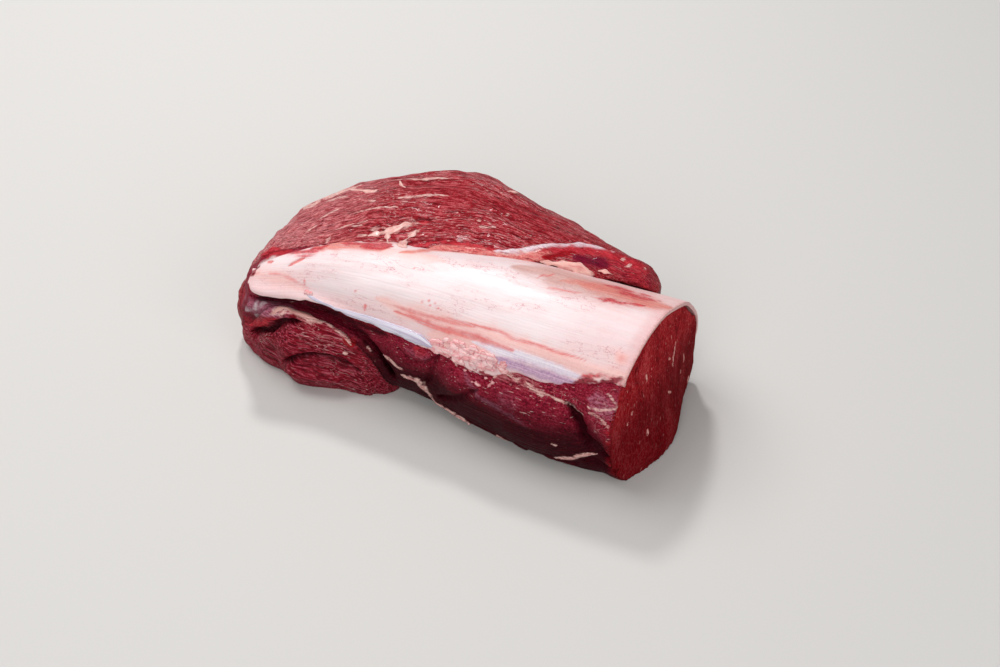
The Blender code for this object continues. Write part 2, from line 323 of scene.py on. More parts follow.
LOBE = Muscle(
    (
        (-113, -12, 6, 6, 31, -4, 18),
        (-103, -20, 6, -3, 34, -8, 16),
        (-90, -27, 4, -3, 37, -14, 15),
        (-75, -33, 0, -3, 37.5, -18, 14),
        (-57, -34, -3, -3, 36, -20, 13),
        (-42, -31, -5, -3, 31, -19, 12),
        (-31, -27, -5, -3, 23, -16, 9),
        (-24, -21, -6, -3, 14, -13, 6),
    ),
    2.2,
)
# x, then the angles round the barrel of the silverskin's near and far edges
MARGINS = (
    (-98, 131, 118),
    (-94, 140, 105),
    (-90, 143, 96),
    (-80, 143, 86),
    (-60, 145, 76),
    (-46, 147, 66),
    (-33, 149, 58),
    (-10, 152, 46),
    (22, 155, 34),
    (34, 148, 26),
    (55, 146, 14),
    (70, 137, 8),
    (83, 134, 5),
    (108, 134, 5),
)
# x, then the y of the wing's upper face along the silverskin and at its far outline
WING_FAN = (
    (-112, -24, 26),
    (-100, -19, 48),
    (-92, -14, 58),
    (-78, -7, 76),
    (-56, 5, 89),
    (-32, 11, 99),
    (-10, 17, 94),
    (10, 20, 83),
    (32, 21, 72),
    (50, 22, 60),
    (66, 23, 51),
    (84, 27, 42),
)


# ---------------------------------------------------------------- meshes


def deselect() -> None:
    """Leaves nothing selected, in object mode."""
    if bpy.context.object and bpy.context.object.mode != "OBJECT":
        bpy.ops.object.mode_set(mode="OBJECT")
    bpy.ops.object.select_all(action="DESELECT")


def choose(*pieces: Piece) -> None:
    """Selects some pieces alone.

    Args:
        *pieces: The pieces. The first one is made active.
    """
    deselect()
    for piece in pieces:
        piece.select_set(True)
    bpy.context.view_layer.objects.active = pieces[0]


def finish_with(piece: Piece, kind: str, **settings: object) -> None:
    """Adds a modifier and applies it.

    Args:
        piece: The piece it works on.
        kind: Its type.
        **settings: Its own settings by name.
    """
    choose(piece)
    modifier = piece.modifiers.new(kind.lower(), kind)
    for name, value in settings.items():
        setattr(modifier, name, value)
    bpy.ops.object.modifier_apply(modifier=modifier.name)


def tidy_mesh(piece: Piece) -> None:
    """Merges doubled vertices and turns every face outwards.

    Args:
        piece: The piece that is tidied.
    """
    choose(piece)
    bpy.ops.object.mode_set(mode="EDIT")
    bpy.ops.mesh.select_all(action="SELECT")
    bpy.ops.mesh.remove_doubles(threshold=1e-6)
    bpy.ops.mesh.normals_make_consistent(inside=False)
    bpy.ops.object.mode_set(mode="OBJECT")


def add_grid(name: str, rows: int, columns: int) -> tuple[Piece, Array, Array]:
    """Adds a flat grid, for a sheet or a tube to be laid out from.

    Args:
        name: The piece's name.
        rows: How many cells it has one way.
        columns: How many it has the other way.

    Returns:
        The piece, and each vertex's share of the way along the rows and along the columns.
    """
    deselect()
    bpy.ops.mesh.primitive_grid_add(x_subdivisions=rows, y_subdivisions=columns, size=2)
    piece = bpy.context.object
    piece.name = name
    share = (Sculpt(piece).places + OFFSET) * MM / 2 + 0.5
    return piece, share[:, 0], share[:, 1]


class Ground:
    """Finished surfaces, for laying strokes and other pieces on."""

    def __init__(self, *pieces: Piece) -> None:
        """Reads the surfaces.

        Args:
            *pieces: The pieces that they belong to.
        """
        graph = bpy.context.evaluated_depsgraph_get()
        graph.update()
        self.trees = [BVHTree.FromObject(piece, graph) for piece in pieces]

    def nearest(self, places: Array) -> tuple[Array, Array]:
        """Finds the surface nearest to each place.

        Args:
            places: The places, in millimetres.

        Returns:
            The points on the surface and its outward directions there.
        """
        points, ways = [], []
        for place in (places + OFFSET) * MM:
            hits = [tree.find_nearest(Vector(place)) for tree in self.trees]
            point, way, _, _ = min((hit for hit in hits if hit[0] is not None), key=lambda hit: hit[3])
            points.append(point)
            ways.append(way)
        return np.array(points) / MM - OFFSET, np.array(ways)


class Sculpt:
    """A piece's vertices in the meat's own millimetres, moved and painted in code.

    Relief that follows the bent fibres, and paint along named lines, are beyond the modifiers, so they
    are worked out for each vertex.
    """

    def __init__(self, piece: Piece) -> None:
        """Reads the vertices and normals.

        Args:
            piece: The piece that they belong to.
        """
        self.piece = piece
        self.places = self._read("co") / MM - OFFSET
        self.normals = self._read("normal")

    def _read(self, name: str) -> Array:
        """Reads one vector of each vertex.

        Args:
            name: Which one.

        Returns:
            The vectors, as the mesh holds them.
        """
        vertices = self.piece.data.vertices
        flat = np.empty(len(vertices) * 3, np.float32)
        vertices.foreach_get(name, flat)
        return flat.reshape(-1, 3).astype(float)

    def put(self, places: Array) -> None:
        """Moves the vertices.

        Args:
            places: Their new places, in millimetres.
        """
        self.places = places
        flat = ((places + OFFSET) * MM).astype(np.float32).ravel()
        self.piece.data.vertices.foreach_set("co", flat)
        self.piece.data.update()
        self.normals = self._read("normal")

    def push(self, distance: Array) -> None:
        """Moves each vertex outwards by its distance, in millimetres."""
        self.put(self.places + self.normals * distance[:, None])

    def paint(self, name: str, values: Array) -> None:
        """Keeps something for each vertex, for the material to read.

        Args:
            name: The mesh attribute's name.
            values: A number or a vector for each vertex.
        """
        kind, field = ("FLOAT_VECTOR", "vector") if values.ndim == 2 else ("FLOAT", "value")
        layer = self.piece.data.attributes.new(name, kind, "POINT")
        layer.data.foreach_set(field, values.astype(np.float32).ravel())

    def mark(
        self,
        marks: Sequence[Mark],
        grounds: dict[Paint, Array | float],
        keep: Array | float,
        within: float,
    ) -> None:
        """Lays strokes on the surface: their relief first, then their paint.

        Args:
            marks: The strokes.
            grounds: Every paint that the material reads, with how much of it lies there anyway.
            keep: The share of the relief to keep at each vertex.
            within: How far off the surface a stroke may be named and still be brought onto it.
        """
        amounts = {paint: np.zeros(len(self.places)) + ground for paint, ground in grounds.items()}
        lift = np.zeros(len(self.places))
        surface = Ground(self.piece)
        for stroke in marks:
            count = len(stroke.points)
            named = smooth_line(stroke.points, 6 * count) if count > 1 else np.array(stroke.points * 2)
            laid, _ = surface.nearest(named)
            off = np.linalg.norm(laid - named, axis=1)[:, None]
            reach = stroke.reach(self.places, np.where(off < within, laid, named))
            if stroke.paint in amounts:
                cover = stroke.strength * bell(reach, 1.1)
                amounts[stroke.paint] = np.maximum(amounts[stroke.paint], cover)
            lift += stroke.lift * bell(reach, 1.0)
        self.push(lift * keep)
        for paint, amount in amounts.items():
            self.paint(paint.value, amount)

    def dress(self, *materials: bpy.types.Material, angle: float = SMOOTH_ANGLE) -> None:
        """Gives the piece its materials and smooth shading.

        Args:
            *materials: The materials, in the order that the faces number them.
            angle: How sharp an edge may be and still be shaded smoothly.
        """
        for material in materials:
            self.piece.data.materials.append(material)
        choose(self.piece)
        bpy.ops.object.shade_smooth_by_angle(angle=angle)


# ---------------------------------------------------------------- finishes


class Shader:
    """A material under way: its nodes, and the surface that they lead to."""

    def __init__(self, name: str, **sockets: object) -> None:
        """Starts a material.

        Args:
            name: Its name.
            **sockets: What its surface is all over, by the socket's name with _ for each space.
        """
        self.material = bpy.data.materials.new(name)
        self.material.use_nodes = True
        self.tree = self.material.node_tree
        self.surface = self.tree.nodes["Principled BSDF"]
        for key, value in sockets.items():
            self.surface.inputs[key.replace("_", " ")].default_value = value

    def add(
        self, kind: str, inputs: dict | None = None, output: str | None = None, **settings: object
    ) -> Socket:
        """Adds a shader node with its settings, values and links.

        Args:
            kind: The node's type, without "ShaderNode".
            inputs: Values, hex colours or other nodes' sockets, by the input's name or number.
            output: The output to return, where it isn't the first in use.
            **settings: The node's own settings by name.

        Returns:
            One of the node's outputs.
        """
        node = self.tree.nodes.new("ShaderNode" + kind)
        for name, value in settings.items():
            setattr(node, name, value)
        for key, value in (inputs or {}).items():
            if isinstance(value, Socket):
                self.tree.links.new(value, node.inputs[key])
            else:
                node.inputs[key].default_value = linear(value) if isinstance(value, str) else value
        return node.outputs[output] if output else next(socket for socket in node.outputs if socket.enabled)

    def grain(self, *scale: float) -> Socket:
        """The grain that the mesh carries, in bumps for each millimetre along, across and into it."""
        carried = self.add("Attribute", attribute_name="grain", output="Vector")
        return self.add("Mapping", {"Vector": carried, "Scale": scale})

    def weave(self, *scale: float, detail: float = 2.0, rough: float = 0.55) -> Socket:
        """Noise drawn out along the grain, in bumps for each millimetre along, across and into it."""
        inputs = {"Vector": self.grain(*scale), "Scale": 1.0, "Detail": detail, "Roughness": rough}
        return self.add("TexNoise", inputs)

    def crumb(self, scale: float, detail: float = 3.0, rough: float = 0.75) -> Socket:
        """Noise that is the same every way through the piece.

        Args:
            scale: Its bumps for each millimetre.
            detail: How many finer layers it has.
            rough: How strong they are.

        Returns:
            The noise, around 0.5.
        """
        solid = self.add("TexCoord", output="Object")
        inputs = {"Vector": solid, "Scale": scale / MM, "Detail": detail, "Roughness": rough}
        return self.add("TexNoise", inputs)

    def threads(self, noise: Socket, edge: tuple[float, float], full: float) -> Socket:
        """Thin threads that wander where a noise passes its middle.

        Args:
            noise: The noise.
            edge: How far from its middle a thread is full, and where it ends.
            full: How fully it covers.

        Returns:
            How much thread lies at each place.
        """
        off = self.add("Math", {0: noise, 1: 0.5}, operation="SUBTRACT")
        off = self.add("Math", {0: off}, operation="ABSOLUTE")
        return self.add("MapRange", {0: off, 1: edge[0], 2: edge[1], 3: full, 4: 0.0})

    def finish(self, colour: Socket, height: Socket, strength: float, depth: float) -> bpy.types.Material:
        """Links the surface to its colour and to its bumps.

        Args:
            colour: The colour.
            height: How high each place stands.
            strength: How strongly the bumps show, from 0 to 1.
            depth: How deep they are, in millimetres.

        Returns:
            The finished material.
        """
        self.tree.links.new(colour, self.surface.inputs["Base Color"])
        bump = self.add("Bump", {"Height": height, "Strength": strength, "Distance": depth * MM})
        self.tree.links.new(bump, self.surface.inputs["Normal"])
        return self.material


@dataclass(frozen=True)
class Fibres:
    """The look of one muscle's fibres.

    Attributes:
        deep: The colour between them.
        mid: The colour of most of them.
        light: The colour of those that stand up.
        crumbs: How far crumbs break them up, from 0 to 1.
        strands: How far long strands lead, from 0 to 1.
        spread: The noise that turns to the deepest colour, and to the lightest.
    """

    deep: str
    mid: str
    light: str
    crumbs: float
    strands: float
    spread: tuple[float, float]

    def colour(self, shader: Shader, streaks: Socket, crumbs: Socket, strands: Socket) -> Socket:
        """Mixes the fibres' colour.

        Args:
            shader: The material under way.
            streaks: Noise in short streaks along the fibres.
            crumbs: Noise in fine crumbs.
            strands: Noise in long strands.

        Returns:
            The colour.
        """
        low, high = self.spread
        tone = shader.add("Mix", {"Factor": self.crumbs, "A": streaks, "B": crumbs})
        tone = shader.add("Mix", {"Factor": self.strands, "A": tone, "B": strands})
        below = shader.add("MapRange", {0: tone, 1: low, 2: (low + high) / 2})
        above = shader.add("MapRange", {0: tone, 1: (low + high) / 2, 2: high})
        base = shader.add("Mix", {0: below, 6: self.deep, 7: self.mid}, data_type="RGBA")
        return shader.add("Mix", {0: above, 6: base, 7: self.light}, data_type="RGBA")


@dataclass(frozen=True)
class Coat:
    """One paint laid over a material where the mesh carries it, torn into streaks along the fibres.

    Attributes:
        paint: Which paint it is.
        tint: Its colour.
        deep: Its colour in its crumbs' low places.
        full: How fully it covers at most.
        soft: How gradually its edge fades, from 0 to 0.5.
        torn: How strongly the streaks eat into it.
    """

    paint: Paint
    tint: str
    deep: str
    full: float = 1.0
    soft: float = 0.3
    torn: float = 1.6

    def lay(self, shader: Shader, colour: Socket, streaks: Socket, crumbs: Socket) -> Socket:
        """Covers a colour with the paint.

        Args:
            shader: The material under way.
            colour: The colour below.
            streaks: Noise around 0.5 that tears the paint.
            crumbs: Noise around 0.5 that mottles it.

        Returns:
            The colour with the paint on it.
        """
        amount = shader.add("Attribute", attribute_name=self.paint.value, output="Fac")
        tears = {0: streaks, 1: 0.2, 2: 0.8, 3: 1 - self.torn / 2, 4: 1 + self.torn / 2}
        torn = shader.add("Math", {0: amount, 1: shader.add("MapRange", tears)}, operation="MULTIPLY")
        edge = {0: torn, 1: 0.5 - self.soft, 2: 0.5 + self.soft, 4: self.full}
        cover = shader.add("MapRange", edge, interpolation_type="SMOOTHSTEP")
        mottle = shader.add("MapRange", {0: crumbs, 1: 0.38, 2: 0.6})
        tint = shader.add("Mix", {0: mottle, 6: self.deep, 7: self.tint}, data_type="RGBA")
        return shader.add("Mix", {0: cover, 6: colour, 7: tint}, data_type="RGBA")


# how meat lets light in: red light goes 2 mm deep, green and blue light hardly any way
MEAT_GLOW = {
    "IOR": 1.4,
    "Subsurface_Weight": 0.1,
    "Subsurface_Radius": (1.0, 0.15, 0.1),
    "Subsurface_Scale": 0.002,
}


@dataclass(frozen=True)
class PulledBeef:
    """Raw beef pulled apart along its seams: moist muscle fibres in bundles under a thin wet film.

    The film gives small sharp glints on the fibres, and the flesh below lets a little light through. A
    real fibre is under 0.1 mm wide and can't show, so the fibres are drawn as bundles 0.5 to 2 mm wide.
    """

    wing: Fibres = Fibres("#56060f", "#9e1a26", "#d2666c", 0.38, 0.34, (0.41, 0.6))
    lobe: Fibres = Fibres("#3c040e", "#961428", "#de6e82", 0.3, 0.5, (0.39, 0.65))
    barrel: Fibres = Fibres("#480418", "#9a1a32", "#c04c62", 0.6, 0.1, (0.38, 0.64))
    # the flecks are fat and also painted glints of the wet film; the threads are fascia and also painted
    # highlights on the fibres
    fleck: str = "#f0c4bc"
    thread: str = "#e6a6a6"
    bloom: Coat = Coat(Paint.PINK, "#ec9fa0", "#94202e", 0.65, 0.5, 2.0)
    coats: tuple[Coat, ...] = (
        Coat(Paint.RIM, "#f4dedc", "#dfb0ae", 1.0, 0.35, 1.0),
        # membrane tint, in places a painted sheen
        Coat(Paint.FILM_AND_SHEEN, "#d08ca2", "#8c2a46", 0.75, 0.5, 2.2),
        # the pale fold of fascia, and painted glints on the lobe's membrane
        Coat(Paint.LILAC_AND_GLINT, "#faeef0", "#e8bccc", 0.95, 0.4, 1.0),
        Coat(Paint.PLUM, "#8a0e32", "#540820", 0.95, 0.5, 0.8),
        Coat(Paint.ORANGE, "#f3a49a", "#d84a50", 0.95, 0.4, 2.2),
        Coat(Paint.FRINGE, "#d8404a", "#a31424", 0.95, 0.4, 2.2),
        # painted shade
        Coat(Paint.DARK, "#2c0309", "#1a0105", 0.92, 0.5, 1.0),
        Coat(Paint.BLOOD, "#b81a24", "#70050f", 1.0, 0.4, 2.0),
        Coat(Paint.FAT, "#f2cbc0", "#c8787a", 0.95, 0.3, 2.8),
    )

    def build(self) -> bpy.types.Material:
        """Makes the material.

        Returns:
            The material, which reads the flesh's grain, zones and paints.
        """
        wet = {"Coat_Weight": 0.14, "Coat_Roughness": 0.1, "Coat_IOR": 1.34}
        shader = Shader("seam_pulled_beef", Specular_IOR_Level=0.06, **MEAT_GLOW, **wet)
        add = shader.add
        fine = shader.weave(0.22, 1.4, 1.3, detail=3.0, rough=0.6)
        bundle = shader.weave(0.035, 0.4, 0.4)
        hair = shader.weave(0.03, 1.9, 1.8, detail=3.0, rough=0.5)
        strand = add("Mix", {"Factor": 0.3, "A": shader.weave(0.05, 0.85, 0.8, rough=0.5), "B": bundle})
        seam = shader.weave(0.045, 0.5, 0.45, detail=3.0, rough=0.6)
        patch = shader.weave(0.03, 0.07, 0.07)
        crumb = shader.crumb(1.2)
        wing, lobe = (add("Attribute", attribute_name=name, output="Fac") for name in ("wing", "lobe"))

        colour = self.barrel.colour(shader, fine, crumb, strand)
        for zone, fibres, long in ((lobe, self.lobe, hair), (wing, self.wing, strand)):
            above = fibres.colour(shader, fine, crumb, long)
            colour = add("Mix", {0: zone, 6: colour, 7: above}, data_type="RGBA")
        mottle = add("Mix", {"Factor": 0.6, "A": crumb, "B": fine})
        colour = self.bloom.lay(shader, colour, fine, mottle)

        # threads of fascia lie on the wing and the lobe in patches, partly as painted highlights on the
        # fibres; a net of them where the web paint lies; ticks of fat, partly painted glints, along the
        # fibres everywhere but more in the patches
        patches = add("MapRange", {0: patch, 1: 0.38, 2: 0.58}, interpolation_type="SMOOTHSTEP")
        fascia = add("Math", {0: shader.threads(seam, (0.002, 0.018), 0.8), 1: patches}, operation="MULTIPLY")
        fibrous = add("Math", {0: wing, 1: lobe}, operation="MAXIMUM")
        fascia = add("Math", {0: fascia, 1: fibrous}, operation="MULTIPLY")
        net = shader.threads(shader.crumb(0.26, 2.0, 0.5), (0.003, 0.02), 0.8)
        laid = add("Attribute", attribute_name=Paint.WEB.value, output="Fac")
        net = add("Math", {0: net, 1: laid}, operation="MULTIPLY")
        ticks = {0: shader.weave(0.3, 1.5, 1.5, detail=1.0), 1: 0.67, 2: 0.76, 4: 0.9}
        ticks = add("MapRange", ticks, interpolation_type="SMOOTHSTEP")
        spare = add("MapRange", {0: patches, 1: 0.0, 2: 1.0, 3: 0.25, 4: 1.0})
        ticks = add("Math", {0: ticks, 1: spare}, operation="MULTIPLY")
        for cover, pale in ((fascia, self.thread), (net, self.thread), (ticks, self.fleck)):
            colour = add("Mix", {0: cover, 6: colour, 7: pale}, data_type="RGBA")
        tear = add("Mix", {"Factor": 0.5, "A": fine, "B": seam})
        for coat in self.coats:
            colour = coat.lay(shader, colour, tear, mottle)

        # crumbs make the wet film uneven, and it is duller where the painted shade lies
        dark = add("Attribute", attribute_name=Paint.DARK.value, output="Fac")
        gloss = {
            "Roughness": {0: crumb, 1: 0.35, 2: 0.65, 3: 0.4, 4: 0.6},
            "Coat Weight": {0: dark, 1: 0.1, 2: 0.9, 3: 0.11, 4: 0.02},
        }
        for name, levels in gloss.items():
            shader.tree.links.new(add("MapRange", levels), shader.surface.inputs[name])
        height = add("Mix", {"Factor": 0.5, "A": fine, "B": crumb})
        long = add("Mix", {"Factor": 0.5, "A": hair, "B": fine})
        height = add("Mix", {"Factor": lobe, "A": height, "B": long})
        height = add("Math", {0: height, 1: bundle}, operation="ADD")
        return shader.finish(colour, height, 1.0, 1.4)


@dataclass(frozen=True)
class SlicedBeef:
    """Raw beef sliced across the grain with a sharp knife: the fibres' ends, smooth and nearly matt.

    The ends of single fibres are too fine to show, so those of bundles are drawn, 1 to 4 mm across.
    """

    fibres: Fibres = Fibres("#5c050b", "#a0121c", "#cc4c50", 0.45, 0.25, (0.38, 0.64))
    sheath: str = "#d8686a"
    fleck: str = "#e2958f"
    coats: tuple[Coat, ...] = (
        # painted shade towards the cut's foot
        Coat(Paint.DARK, "#46050a", "#2a0205", 0.85, 0.5, 0.6),
        Coat(Paint.RIM, "#e8b2ae", "#c87c7c", 0.9, 0.35, 0.8),
        Coat(Paint.FAT, "#eab4aa", "#c8706c", 0.95, 0.2, 1.6),
    )

    def build(self) -> bpy.types.Material:
        """Makes the material.

        Returns:
            The material, which reads the flesh's grain and paints.
        """
        damp = {"Roughness": 0.45, "Specular_IOR_Level": 0.0, "Coat_Weight": 0.03, "Coat_Roughness": 0.15}
        shader = Shader("knife_cut_beef", **MEAT_GLOW, **damp)
        add = shader.add
        fine = shader.weave(0.3, 1.0, 1.0, detail=4.0, rough=0.65)
        broad = shader.weave(0.05, 0.13, 0.1)
        crumb = shader.crumb(1.1)
        colour = self.fibres.colour(shader, fine, crumb, broad)
        # the thin sheaths round the fibre bundles, then ticks of fat
        cells = {"Vector": shader.grain(0.24, 0.62, 0.6), "Scale": 1.0}
        edge = add("TexVoronoi", cells, feature="DISTANCE_TO_EDGE")
        sheath = add("MapRange", {0: edge, 1: 0.0, 2: 0.09, 3: 0.5, 4: 0.0})
        sheath = add("Math", {0: sheath, 1: broad}, operation="MULTIPLY")
        ticks = {0: shader.weave(0.26, 1.1, 1.1, detail=1.0), 1: 0.68, 2: 0.77, 4: 0.8}
        ticks = add("MapRange", ticks, interpolation_type="SMOOTHSTEP")
        for cover, pale in ((sheath, self.sheath), (ticks, self.fleck)):
            colour = add("Mix", {0: cover, 6: colour, 7: pale}, data_type="RGBA")
        for coat in self.coats:
            colour = coat.lay(shader, colour, fine, crumb)
        return shader.finish(colour, add("Mix", {"Factor": 0.5, "A": fine, "B": crumb}), 0.8, 1.0)


@dataclass(frozen=True)
class PeeledSilverskin:
    """Silverskin laid bare by peeling: tough, pale and moist, with faint threads along the muscle.

    It shines softly, because it is wet but not quite smooth. The threads are drawn 1 mm apart, a few
    times coarser than the real ones.
    """

    pale: str = "#f3e7e8"
    rose: str = "#f0d6d6"
    vein: str = "#bb7482"
    washes: tuple[Coat, ...] = (
        Coat(Paint.PINK, "#edc6c6", "#e2b0b1", 0.9, 0.5, 1.2),
        # painted shade, grey-beige
        Coat(Paint.SKIN_SHADE, "#d8aca2", "#bd857c", 0.85, 0.5, 1.6),
        Coat(Paint.PEACH, "#f9cdc6", "#f2b1a9", 0.85, 0.6, 1.6),
        Coat(Paint.FILM_AND_SHEEN, "#f4eef4", "#d8cbe0", 0.95, 0.45, 1.2),
        Coat(Paint.LILAC_AND_GLINT, "#debad6", "#8c6096", 0.85, 0.45, 2.0),
        Coat(Paint.ORANGE, "#e98878", "#cc4a40", 0.85, 0.7, 1.8),
        Coat(Paint.BLUSH, "#ea746e", "#cc4448", 0.8, 0.5, 2.0),
    )
    spots: tuple[Coat, ...] = (
        Coat(Paint.FRINGE, "#d8404a", "#a31424", 0.92, 0.6, 2.4),
        Coat(Paint.FLESH, "#a83a46", "#6e1420", 1.0, 0.25, 2.4),
        Coat(Paint.RIM, "#e0aeaa", "#c58480", 0.9, 0.5, 0.6),
    )

    def build(self) -> bpy.types.Material:
        """Makes the material.

        Returns:
            The material, which reads the skin's grain and paints.
        """
        glow = {"Subsurface_Weight": 0.12, "Subsurface_Radius": (1.0, 0.5, 0.4), "Subsurface_Scale": 0.0015}
        gloss = {"IOR": 1.42, "Specular_IOR_Level": 0.4, "Coat_Weight": 0.15, "Coat_Roughness": 0.2}
        shader = Shader("peeled_silverskin", **glow, **gloss)
        add = shader.add
        threads = shader.weave(0.02, 1.1, 1.0, detail=3.0)
        tatter = shader.weave(0.14, 0.5, 0.5, detail=5.0, rough=0.7)
        cloud = shader.weave(0.03, 0.08, 0.08, detail=3.0)
        crumb = shader.crumb(1.0, rough=0.7)
        rosy = add("MapRange", {0: cloud, 1: 0.4, 2: 0.7})
        strings = add("MapRange", {0: threads, 1: 0.5, 2: 0.75, 4: 0.5}, interpolation_type="SMOOTHSTEP")
        vessels = shader.threads(shader.weave(0.1, 0.22, 0.2, detail=4.0, rough=0.6), (0.0, 0.013), 0.9)
        patches = add("MapRange", {0: cloud, 1: 0.48, 2: 0.6})
        vessels = add("Math", {0: vessels, 1: patches}, operation="MULTIPLY")
        colour = self.pale
        for cover, over in ((rosy, self.rose), (strings, self.rose), (vessels, self.vein)):
            colour = add("Mix", {0: cover, 6: colour, 7: over}, data_type="RGBA")
        mottle = add("Mix", {"Factor": 0.65, "A": crumb, "B": threads})
        washed = add("Mix", {"Factor": 0.3, "A": threads, "B": tatter})
        spotted = add("Mix", {"Factor": 0.15, "A": tatter, "B": threads})
        for coats, tear, blots in ((self.washes, washed, mottle), (self.spots, spotted, crumb)):
            for coat in coats:
                colour = coat.lay(shader, colour, tear, blots)
        rough = add("MapRange", {0: threads, 1: 0.3, 2: 0.7, 3: 0.34, 4: 0.48})
        shader.tree.links.new(rough, shader.surface.inputs["Roughness"])
        return shader.finish(colour, add("Mix", {"Factor": 0.4, "A": threads, "B": tatter}), 0.5, 0.6)


@dataclass(frozen=True)
class Tissue:
    """Fat, tendon and fascia: soft pale tissue with a moist shine, deeper in colour where it is thin.

    Attributes:
        name: What it is, and how it was made.
        pale: Its lighter colour.
        deep: Its darker colour.
        stain: The colour of what has bled into its low places.
        threads: The threads' bumps for each millimetre along, across and into it.
        coat: How wet it is.
        cells: How many lumps it is grown from for each millimetre, or 0.
    """

    name: str
    pale: str
    deep: str
    stain: str
    threads: Place = (0.12, 0.9, 0.9)
    coat: float = 0.08
    cells: float = 0.0

    def build(self) -> bpy.types.Material:
        """Makes the material.

        Returns:
            The material, which reads how far the piece stands up, and its grain.
        """
        glow = {"Subsurface_Weight": 0.2, "Subsurface_Radius": (1.0, 0.45, 0.35), "Subsurface_Scale": 0.0015}
        gloss = {"IOR": 1.42, "Roughness": 0.45, "Specular_IOR_Level": 0.35, "Coat_Roughness": 0.1}
        shader = Shader(self.name, Coat_Weight=self.coat, **glow, **gloss)
        add = shader.add
        threads = shader.weave(*self.threads, detail=3.0)
        blots = shader.weave(0.3, 0.45, 0.45, detail=3.0)
        rise = add("Attribute", attribute_name="rise", output="Fac")
        shade = add("MapRange", {0: threads, 1: 0.35, 2: 0.7}, interpolation_type="SMOOTHSTEP")
        low = add("Mix", {"Factor": 0.5, "A": rise, "B": blots})
        bled = add("MapRange", {0: low, 1: 0.45, 2: 0.2, 4: 0.6}, interpolation_type="SMOOTHSTEP")
        colour = add("Mix", {0: shade, 6: self.pale, 7: self.deep}, data_type="RGBA")
        colour = add("Mix", {0: bled, 6: colour, 7: self.stain}, data_type="RGBA")
        if self.cells:
            inputs = {"Vector": add("TexCoord", output="Object"), "Scale": self.cells / MM}
            edge = add("TexVoronoi", inputs, feature="DISTANCE_TO_EDGE")
            net = add("MapRange", {0: edge, 1: 0.0, 2: 0.08, 3: 0.6, 4: 0.0})
            patches = add("MapRange", {0: blots, 1: 0.4, 2: 0.6})
            net = add("Math", {0: net, 1: patches}, operation="MULTIPLY")
            colour = add("Mix", {0: net, 6: colour, 7: self.stain}, data_type="RGBA")
        return shader.finish(colour, threads, 0.5, 0.6)


@dataclass(frozen=True)
class PaintedFloor:
    """A matt painted studio floor: pale and plain, with no shine to draw the eye."""

    colour: str = "#d0cdc9"

    def build(self) -> bpy.types.Material:
        """Makes the material."""
        return Shader("matt_painted_floor", Base_Color=linear(self.colour), Roughness=0.8).material


# ---------------------------------------------------------------- the flesh


@dataclass(frozen=True)
class Zones:
    """How far each vertex belongs to the cut, to the wing and to the lobe, from 0 to 1."""

    cut: Array
    wing: Array
    lobe: Array


